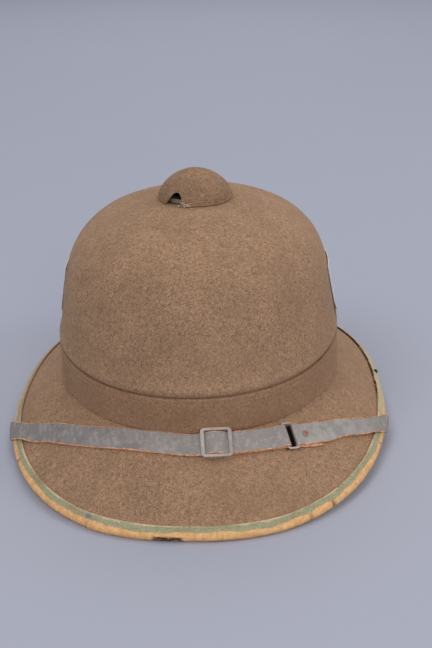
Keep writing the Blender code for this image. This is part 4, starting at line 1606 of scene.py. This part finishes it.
def long_strap_rows(front, buckle, ring):
    """Rows across the strap, from the left anchor to the hook on the buckle's bar."""
    bar = RING_PLACE - RING_LENGTH / 2
    rail = BUCKLE_LENGTH / 2 - BUCKLE_RAIL / 2
    past_rail = BUCKLE_PLACE + 1.8 * rail
    halfway = (past_rail + bar) / 2
    left = front.left.steps(STRAP_STEP / 3, front.left.total)
    rows = [front.row(-distance, FIRST_LAYER) for distance in reversed(left)]
    rows.append(front.row(BUCKLE_PLACE - 1.7 * rail, FIRST_LAYER))
    over_bar = (
        (-1.0, blend(FIRST_LAYER, SECOND_LAYER, 0.8)),
        (-0.82, SECOND_LAYER),
        (-0.56, blend(SECOND_LAYER, OVER_BAR, 0.6)),
        (-0.3, OVER_BAR),
        (0.12, OVER_BAR),
        (0.48, blend(SECOND_LAYER, OVER_BAR, 0.55)),
        (0.82, SECOND_LAYER),
    )
    rows += [flat_row(front, buckle, share * rail, height) for share, height in over_bar]
    rows += [front.row(place, SECOND_LAYER) for place in (past_rail, halfway)]
    rows.append(front.row(bar - 3 * FOLD_RADIUS, SECOND_LAYER))
    rows += fold_rows(front, ring, 1)
    rows.append(front.row(bar - 3 * FOLD_RADIUS, FIRST_LAYER))
    rows += [front.row(place, FIRST_LAYER) for place in (halfway, past_rail)]
    rows.append(flat_row(front, buckle, rail, FIRST_LAYER))
    return rows + hook_rows(front, buckle)


LAP_SLIP = 0.0014


def short_strap_rows(front, ring):
    """Rows across the strap, from the right anchor to its folded end, which lies askew."""
    bar = RING_PLACE + RING_LENGTH / 2
    lap = bar + FOLD_LENGTH
    clear = bar + 3 * FOLD_RADIUS
    halfway = (clear + lap) / 2
    right = front.right.steps(lap + STRAP_STEP, front.right.total)
    rows = [front.row(distance, FIRST_LAYER) for distance in reversed(right)]
    rows += [front.row(place, SECOND_LAYER) for place in (lap + STRAP_LEATHER, halfway, clear)]
    rows += fold_rows(front, ring, -1)
    for place, slip in ((clear, 0.55), (halfway, 0.85), (lap, 1.0)):
        row = front.row(place, FIRST_LAYER)
        down = (row[-1] - row[0]).normalized()
        rows.append([point + down * LAP_SLIP * slip for point in row])
    return rows


def denser(rows, step):
    """The same strip with rows about a step apart, on smooth curves through the given ones."""
    middle = len(rows[0]) // 2
    made = []
    last = len(rows) - 1
    for i in range(last):
        start, end = rows[i], rows[i + 1]
        before, after = rows[max(i - 1, 0)], rows[min(i + 2, last)]
        count = max(1, round((end[middle] - start[middle]).length / step))
        made += [curves_between(before, start, end, after, k / count) for k in range(count)]
    made.append(rows[-1])
    return made


SLOT_HALF = 0.0019
SLOT_FADE = 0.0005
EDGE_FRAY = 0.00024
EDGE_WAVE = 0.0024
STRAP_EDGE_SHARE = 0.9
SHOWN_SHARE = 0.65


def slot_shade(ring, point):
    """How much painted shade a point gets in the slot between the two folds in the ring."""
    off = abs((ring @ point).x)
    return smooth((SLOT_HALF - off) / SLOT_FADE)


def build_strap(name, rows, leather, node, seed, ring):
    """A leather strip with rounded, ragged edges, from the rows of its middle sheet."""
    rows = denser(rows, STRAP_ROW_STEP)
    columns = len(rows[0])
    shares = [2 * j / (columns - 1) - 1 for j in range(columns)]
    walked = 0.0
    for i, row in enumerate(rows):
        if i:
            walked += (row[columns // 2] - rows[i - 1][columns // 2]).length
        across = (row[-1] - row[0]).normalized()
        for j, sign in ((0, -1), (-1, 1)):
            place = Vector((walked / EDGE_WAVE, seed + sign, 0.0))
            fray = EDGE_FRAY * noise.fractal(place, 0.8, 2.1, 4) - EDGE_FRAY * 0.4
            row[j] = row[j] + across * sign * fray
    sheet = grid_mesh(name + "_sheet", rows)
    normals = [vertex.normal.copy() for vertex in sheet.vertices]
    points = [vertex.co.copy() for vertex in sheet.vertices]
    bpy.data.meshes.remove(sheet)
    loops = []
    for i in range(len(rows)):
        loop = []
        for sign, order in ((1, range(columns)), (-1, range(columns - 1, -1, -1))):
            for j in order:
                beyond = max(0.0, (abs(shares[j]) - STRAP_EDGE_SHARE) / (1 - STRAP_EDGE_SHARE))
                half = STRAP_LEATHER / 2 * math.sqrt(1 - 0.75 * beyond * beyond)
                index = i * columns + j
                loop.append(points[index] + normals[index] * half * sign)
        loops.append(loop)
    shown = int(len(rows) * SHOWN_SHARE) * columns + columns // 2
    upward = 1.0 if normals[shown].z > 0 else 0.0
    to_ring = ring.inverted()
    marks = {
        "across": [shares + shares[::-1]] * len(rows),
        "face": [[upward] * columns + [1 - upward] * columns] * len(rows),
        "soil_and_painted_shade": [[slot_shade(to_ring, point) for point in loop] for loop in loops],
    }
    mesh = grid_mesh(name, loops, closed_rows=True, marks=marks)
    return add_piece(name, capped(mesh, 2 * columns), leather, "strap_leather", node, sharp=75)


def capped(mesh, count):
    """Closes the open ends of a tube whose rings have count points, keeping its marks."""
    kept = {a.name: [item.value for item in a.data] for a in mesh.attributes
            if a.data_type == "FLOAT" and a.domain == "POINT"}
    ends = []
    for ring in end_faces(mesh, count):
        for j in range(count // 2 - 1):
            ends.append((ring[j], ring[j + 1], ring[count - 2 - j], ring[count - 1 - j]))
    return tidy_normals(with_faces(mesh, ends, kept))


def tidy_normals(mesh):
    builder = bmesh.new()
    builder.from_mesh(mesh)
    bmesh.ops.recalc_face_normals(builder, faces=builder.faces)
    builder.to_mesh(mesh)
    builder.free()
    return mesh


# Frayed fibres

LOWER_CLUMPS = ((-0.058, 0.003), (-0.030, 0.004), (-0.012, 0.003),
                (0.034, 0.003), (0.029, 0.002), (-0.075, 0.005))
UPPER_CLUMPS = ((-0.060, 0.006), (0.046, 0.004), (0.030, 0.006), (-0.020, 0.01))
HALF_LAYER = (SECOND_LAYER - FIRST_LAYER) * 0.5
STRAP_FIBRES = (
    # start and end along the strap, its side, count, clumps of distance and spread, lengths, drop
    (-0.128, 0.058, 1, 420, LOWER_CLUMPS, (0.0006, 0.0017), 0.0),
    (-0.128, 0.058, -1, 260, UPPER_CLUMPS, (0.0006, 0.0017), 0.0),
    (0.072, 0.138, 1, 150, (), (0.0005, 0.0013), HALF_LAYER),
    (0.072, 0.138, -1, 110, (), (0.0005, 0.0013), HALF_LAYER),
)
BINDING_FIBRES = 520
FRAYED_TURNS = (-12, -3, 14, 40, -35)
FIBRE_CORNERS = (0, 1, 12, 14, 16, 18, 19)  # points of the binding's section
VENT_FIBRES = 58
VENT_FRAY = (math.radians(-9), math.radians(5))


def drawn(rng, *spans):
    """A random vector, with a span for each axis."""
    return Vector([rng.uniform(low, high) for low, high in spans])


def fibre(root, direction, length, rng, curl=0.5, steps=4):
    """A short curled hair from its root."""
    points = [root - direction * length * 0.25]
    heading = direction.copy()
    for _ in range(steps):
        drift = drawn(rng, (-1, 1), (-1, 1), (-0.6, 0.6))
        heading = (heading + drift * curl).normalized()
        points.append(points[-1] + heading * length / steps)
    return points


def strap_edge_roots(front, low, high, sign, count, clumps, rng):
    """Places along one edge of the strap on the brim, with the direction out of the strap."""
    roots = []
    for _ in range(count):
        if clumps and rng.random() < 0.6:
            centre, spread = rng.choice(clumps)
            distance = rng.gauss(centre, spread)
        else:
            distance = rng.uniform(low, high)
        distance = min(max(distance, low), high)
        lift = rng.uniform(FIRST_LAYER * 0.7, FIRST_LAYER + STRAP_LEATHER * 0.55)
        if distance > BUCKLE_PLACE:
            lift += SECOND_LAYER - FIRST_LAYER
        row = front.row(distance, lift)
        edge = row[-1] if sign > 0 else row[0]
        outward = (row[-1] - row[0]).normalized() * sign
        roots.append((edge - outward * 0.0004, outward))
    return roots


def build_strap_fibres(front, finish):
    rng = random.Random(11)
    paths = []
    for *edge, lengths, drop in STRAP_FIBRES:
        for root, outward in strap_edge_roots(front, *edge, rng):
            along = drawn(rng, (-1.2, 1.2), (-0.2, 0.2), (-0.1, 0.5))
            direction = (outward + along).normalized()
            paths.append(fibre(root - upwards(drop), direction, rng.uniform(*lengths), rng))
    mesh = tubes_mesh("strap_fibres", paths, lambda i: 0.00007 + 0.00005 * (i % 3), 3)
    return add_piece("strap_fibres", mesh, finish, "strap_leather")


def build_binding_fibres(finish):
    """Frayed hide along the roll, thick at the splits."""
    rng = random.Random(23)
    paths = []
    spots = [(math.radians(degrees), 0.012) for degrees, _, _ in SPLITS]
    spots += [(math.radians(degrees), 0.05) for degrees in FRAYED_TURNS]
    for _ in range(BINDING_FIBRES):
        centre, spread = rng.choice(spots)
        turn = rng.gauss(centre, spread) if rng.random() < 0.55 else rng.uniform(-math.pi, math.pi)
        points, _ = binding_section(turn)
        pick = rng.choice(FIBRE_CORNERS)
        _, outward, up = brim_axes(turn, 1.0)
        away = -outward * 0.4 + up if pick < 2 else outward + up * rng.uniform(-0.5, 0.4)
        along = drawn(rng, (-1, 1), (-0.3, 0.3), (-0.2, 0.3))
        direction = (away + along).normalized()
        path = fibre(points[pick], direction, rng.uniform(0.0004, 0.0012), rng)
        paths.append([Vector((p.x, p.y, max(p.z, 0.0001))) for p in path])
    mesh = tubes_mesh("binding_fibres", paths, lambda i: 0.00006 + 0.00004 * (i % 3), 3)
    return add_piece("binding_fibres", mesh, finish, "binding_leather")


def build_vent_fibres(finish):
    """Loose wool at the right foot of the notch."""
    rng = random.Random(5)
    paths = []
    for _ in range(VENT_FIBRES):
        turn = rng.gauss(*VENT_FRAY)
        inset = VENT_FELT * rng.uniform(0.0, 0.8)
        root = vent_base(turn, VENT_RADIUS - inset, SOFT_GAP + rng.uniform(0.0, 0.0016))
        along = Vector((rng.uniform(-1.5, 0.8), 0, rng.uniform(0.0, 0.6)))
        direction = (facing(turn) + along).normalized()
        paths.append(fibre(root, direction, rng.uniform(0.0018, 0.0044), rng, 0.7))
    mesh = tubes_mesh("vent_fibres", paths, lambda i: 0.00018 + 0.0001 * (i % 3), 4)
    return add_piece("vent_fibres", mesh, finish, "felt")


# Buckle, ring and studs

def rounded_rectangle(length, breadth, corner, steps=8):
    """Middle line of a frame, as points and outward directions in its plane."""
    places = []
    for quarter in range(4):
        sign_x = 1 if quarter in (0, 3) else -1
        sign_y = 1 if quarter in (0, 1) else -1
        centre = Vector((sign_x * (length / 2 - corner), sign_y * (breadth / 2 - corner), 0))
        for step in range(steps + 1):
            angle = math.radians(90 * quarter + 90 * step / steps)
            outward = Vector((math.cos(angle), math.sin(angle), 0))
            places.append((centre + outward * corner, outward))
    return places


def densely(places, step=0.0008):
    """More places along the straight runs, so that wear has points to sit on."""
    made = []
    for (start, out_a), (end, out_b) in zip(places, places[1:] + places[:1]):
        count = max(1, round((end - start).length / step))
        for k in range(count):
            share = k / count
            made.append((start.lerp(end, share), out_a.lerp(out_b, share).normalized()))
    return made


def rounded_box_section(half, low, high, edge, steps=3):
    """Outline of a bar with rounded upper and lower edges, d across and h up."""
    corners = ((half, low, -1), (half, high, 0), (-half, high, 1), (-half, low, 2))
    section = []
    for d, h, quarter in corners:
        centre = Vector((d - math.copysign(edge, d), h - edge if h == high else h + edge))
        for step in range(steps + 1):
            angle = math.pi / 2 * (quarter + step / steps)
            section.append(centre + Vector((math.cos(angle), math.sin(angle))) * edge)
    return section


SLIDE_ROUND = 0.0004
SIDE_RAIL_EXTRA = 0.0006
BAR_STEPS = 12
WIRE_SIDES = 14
STUD_SIDES = 40


def build_slide(matrix, metal):
    """The square slide: a rounded frame, and its middle bar hidden under the strap."""
    section = rounded_box_section(BUCKLE_RAIL / 2, RAIL_FOOT, RAIL_FOOT + BUCKLE_METAL, SLIDE_ROUND)
    places = densely(rounded_rectangle(BUCKLE_LENGTH - BUCKLE_RAIL,
                                       BUCKLE_BREADTH - BUCKLE_RAIL, BUCKLE_CORNER))
    rings = []
    for point, outward in places:
        inward = SIDE_RAIL_EXTRA * abs(outward.x)
        ring = []
        for c in section:
            reach = c.x if c.x > 0 else c.x - inward
            ring.append(matrix @ (point + outward * reach + upwards(c.y)))
        rings.append(ring)
    mesh = closed_mesh("slide_frame", rings)
    roughen(mesh, SLIDE_WAVES)
    slide = add_piece("slide_frame", mesh, metal, "grey_metal", "slide_buckle", sharp=60)
    half = BUCKLE_BREADTH / 2 - 0.8 * BUCKLE_RAIL
    outline = rounded_box_section(BAR_WIDTH / 2, BAR_FOOT, BAR_FOOT + BAR_METAL, SLIDE_ROUND)
    bars = []
    for i in range(BAR_STEPS + 1):
        across = blend(-half, half, i / BAR_STEPS)
        bars.append([matrix @ Vector((c.x, across, c.y)) for c in outline])
    bar = grid_mesh("slide_bar", bars, closed_rows=True)
    bar = tidy_normals(with_faces(bar, list(end_faces(bar, len(outline)))))
    add_piece("slide_bar", bar, metal, "grey_metal", sharp=60)
    return slide


def build_ring(matrix, metal):
    height = BAR_FOOT + RING_WIRE / 2
    places = densely(rounded_rectangle(RING_LENGTH - RING_WIRE, RING_BREADTH - RING_WIRE,
                                       RING_CORNER))
    rings = []
    for point, outward in places:
        ring = []
        for angle in turns(WIRE_SIDES):
            spoke = outward * math.cos(angle) + upwards(math.sin(angle))
            ring.append(matrix @ (point + spoke * RING_WIRE / 2 + upwards(height)))
        rings.append(ring)
    mesh = closed_mesh("wire_ring", rings)
    roughen(mesh, RING_WAVES)
    return add_piece("wire_ring", mesh, metal, "grey_metal", "strap_ring", sharp=80)


def turned_mesh(name, profile, matrix, sides):
    """A closed round body from a profile of radius and height pairs, both ends on the axis."""
    rows = []
    for radius, height in profile:
        spots = [(radius * math.cos(a), radius * math.sin(a), height) for a in turns(sides)]
        rows.append([matrix @ Vector(spot) for spot in spots])
    mesh = grid_mesh(name, rows, closed_rows=True)
    first, last = end_faces(mesh, sides)
    return tidy_normals(with_faces(mesh, [first[::-1], last]))


def build_stud(front, metal):
    """Low domed rivet head with a turned rim, on the folded short strap."""
    bar = RING_PLACE + RING_LENGTH / 2 - RING_WIRE / 2
    matrix = front.frame(bar + STUD_SETBACK)
    low = SECOND_LAYER + STRAP_LEATHER / 2 + GAP
    radius = STUD_HEAD_RADIUS
    profile = (
        (0.0008, SOFT_GAP),
        (0.0008, low),
        (radius * 0.92, low),
        (radius, low + 0.0002),
        (radius * 0.97, low + 0.0005),
        (radius * 0.86, low + 0.0006),
        (radius * 0.74, low + 0.00045),
        (radius * 0.62, low + 0.0005),
        (radius * 0.4, low + 0.00066),
        (radius * 0.2, low + 0.0007),
        (0.0001, low + 0.0007),
    )
    mesh = turned_mesh("stud_head", profile, matrix, STUD_SIDES)
    rim = [1.0 if reach > radius * 0.8 else 0.0 for reach, _ in profile for _ in range(STUD_SIDES)]
    add_mark(mesh, "rim", rim)
    return add_piece("stud_head", mesh, metal, "copper", "strap_stud", sharp=60)


KNOB_RADIUS = 0.0015
KNOB_TURN = math.radians(97.5)
KNOB_STEPS = 10
KNOB_SIDES = 24
LOOSE_ENDS = 9
LOOSE_SPREAD = 0.0009


def build_thread_end(finish):
    """The knotted end of the binding's thread, at the right of the rim."""
    rng = random.Random(3)
    _, outward, up = brim_axes(KNOB_TURN, 1.0)
    root = brim_point(KNOB_TURN, 1.0) - outward * 0.0025 + up * 0.0018
    paths = []
    for _ in range(LOOSE_ENDS):
        start = root + drawn(rng, (-1, 1), (-1, 1), (-0.3, 1)) * LOOSE_SPREAD
        heading = drawn(rng, (-1, 1), (-1, 1), (-0.2, 0.8)).normalized()
        paths.append(fibre(start, heading, rng.uniform(0.0010, 0.0019), rng, 0.9, 6))
    paths.append(fibre(root, (outward + up * 0.4).normalized(), 0.003, rng, 0.5, 7))
    mesh = tubes_mesh("thread_end", paths, lambda i: 0.0002, 5)
    add_piece("thread_end", mesh, finish, "binding_leather")
    profile = []
    for i in range(KNOB_STEPS + 1):
        angle = math.pi * (i / KNOB_STEPS - 0.5)
        profile.append((max(0.0001, KNOB_RADIUS * math.cos(angle)), KNOB_RADIUS * math.sin(angle)))
    knob = turned_mesh("thread_knob", profile, Matrix.Translation(root), KNOB_SIDES)
    roughen(knob, KNOB_WAVES)
    return add_piece("thread_knob", knob, finish, "binding_leather")


def finish_anchors(metal):
    for name in ("strap_anchor_left", "strap_anchor_right"):
        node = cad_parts[name]
        for slot in node.material_slots:
            slot.link = "OBJECT"
            slot.material = metal


def build_helmet():
    felt = felt_material("brown_wool_felt", srgb(163, 129, 100))
    band_felt = felt_material("dark_wool_felt", srgb(156, 121, 92), 0.8)
    leather = strap_material()
    grey_metal = painted_metal_material("grey_painted_steel", srgb(194, 183, 173),
                                        srgb(226, 214, 200), 0.6)
    front = StrapFront()
    buckle = front.frame(BUCKLE_PLACE)
    ring = front.frame(RING_PLACE)
    build_crown(felt)
    build_brim(felt, ring)
    build_band(band_felt)
    build_band_stitches(thread_material("band_thread", srgb(190, 158, 128)))
    build_binding(binding_material())
    build_binding_stitches(thread_material("rim_thread", srgb(220, 200, 160)))
    build_vent_dome(felt)
    build_vent_ring(painted_metal_material("grey_green_vent_metal", srgb(120, 124, 108),
                                           srgb(160, 150, 120), 0.5))
    shield_metal = brushed_metal_material("satin_aluminium", srgb(226, 227, 228))
    build_shield("plate_left", -1, shield_metal, "shield_left")
    build_shield("plate_right", 1, shield_metal, "shield_right")
    build_strap("long_strap_leather", long_strap_rows(front, buckle, ring), leather,
                "strap_long", 1.0, ring)
    build_strap("short_strap_leather", short_strap_rows(front, ring), leather,
                "strap_short", 7.0, ring)
    build_slide(buckle, grey_metal)
    build_ring(ring, grey_metal)
    build_stud(front, copper_material())
    build_strap_fibres(front, fibre_material("tan_fibres", srgb(226, 168, 122)))
    build_binding_fibres(fibre_material("pale_fibres", srgb(222, 180, 128)))
    build_vent_fibres(fibre_material("wool_fibres", srgb(232, 212, 180)))
    build_thread_end(fibre_material("dark_thread", srgb(74, 54, 36)))
    finish_anchors(grey_metal)


add_camera()
add_lights()
add_floor()
build_helmet()
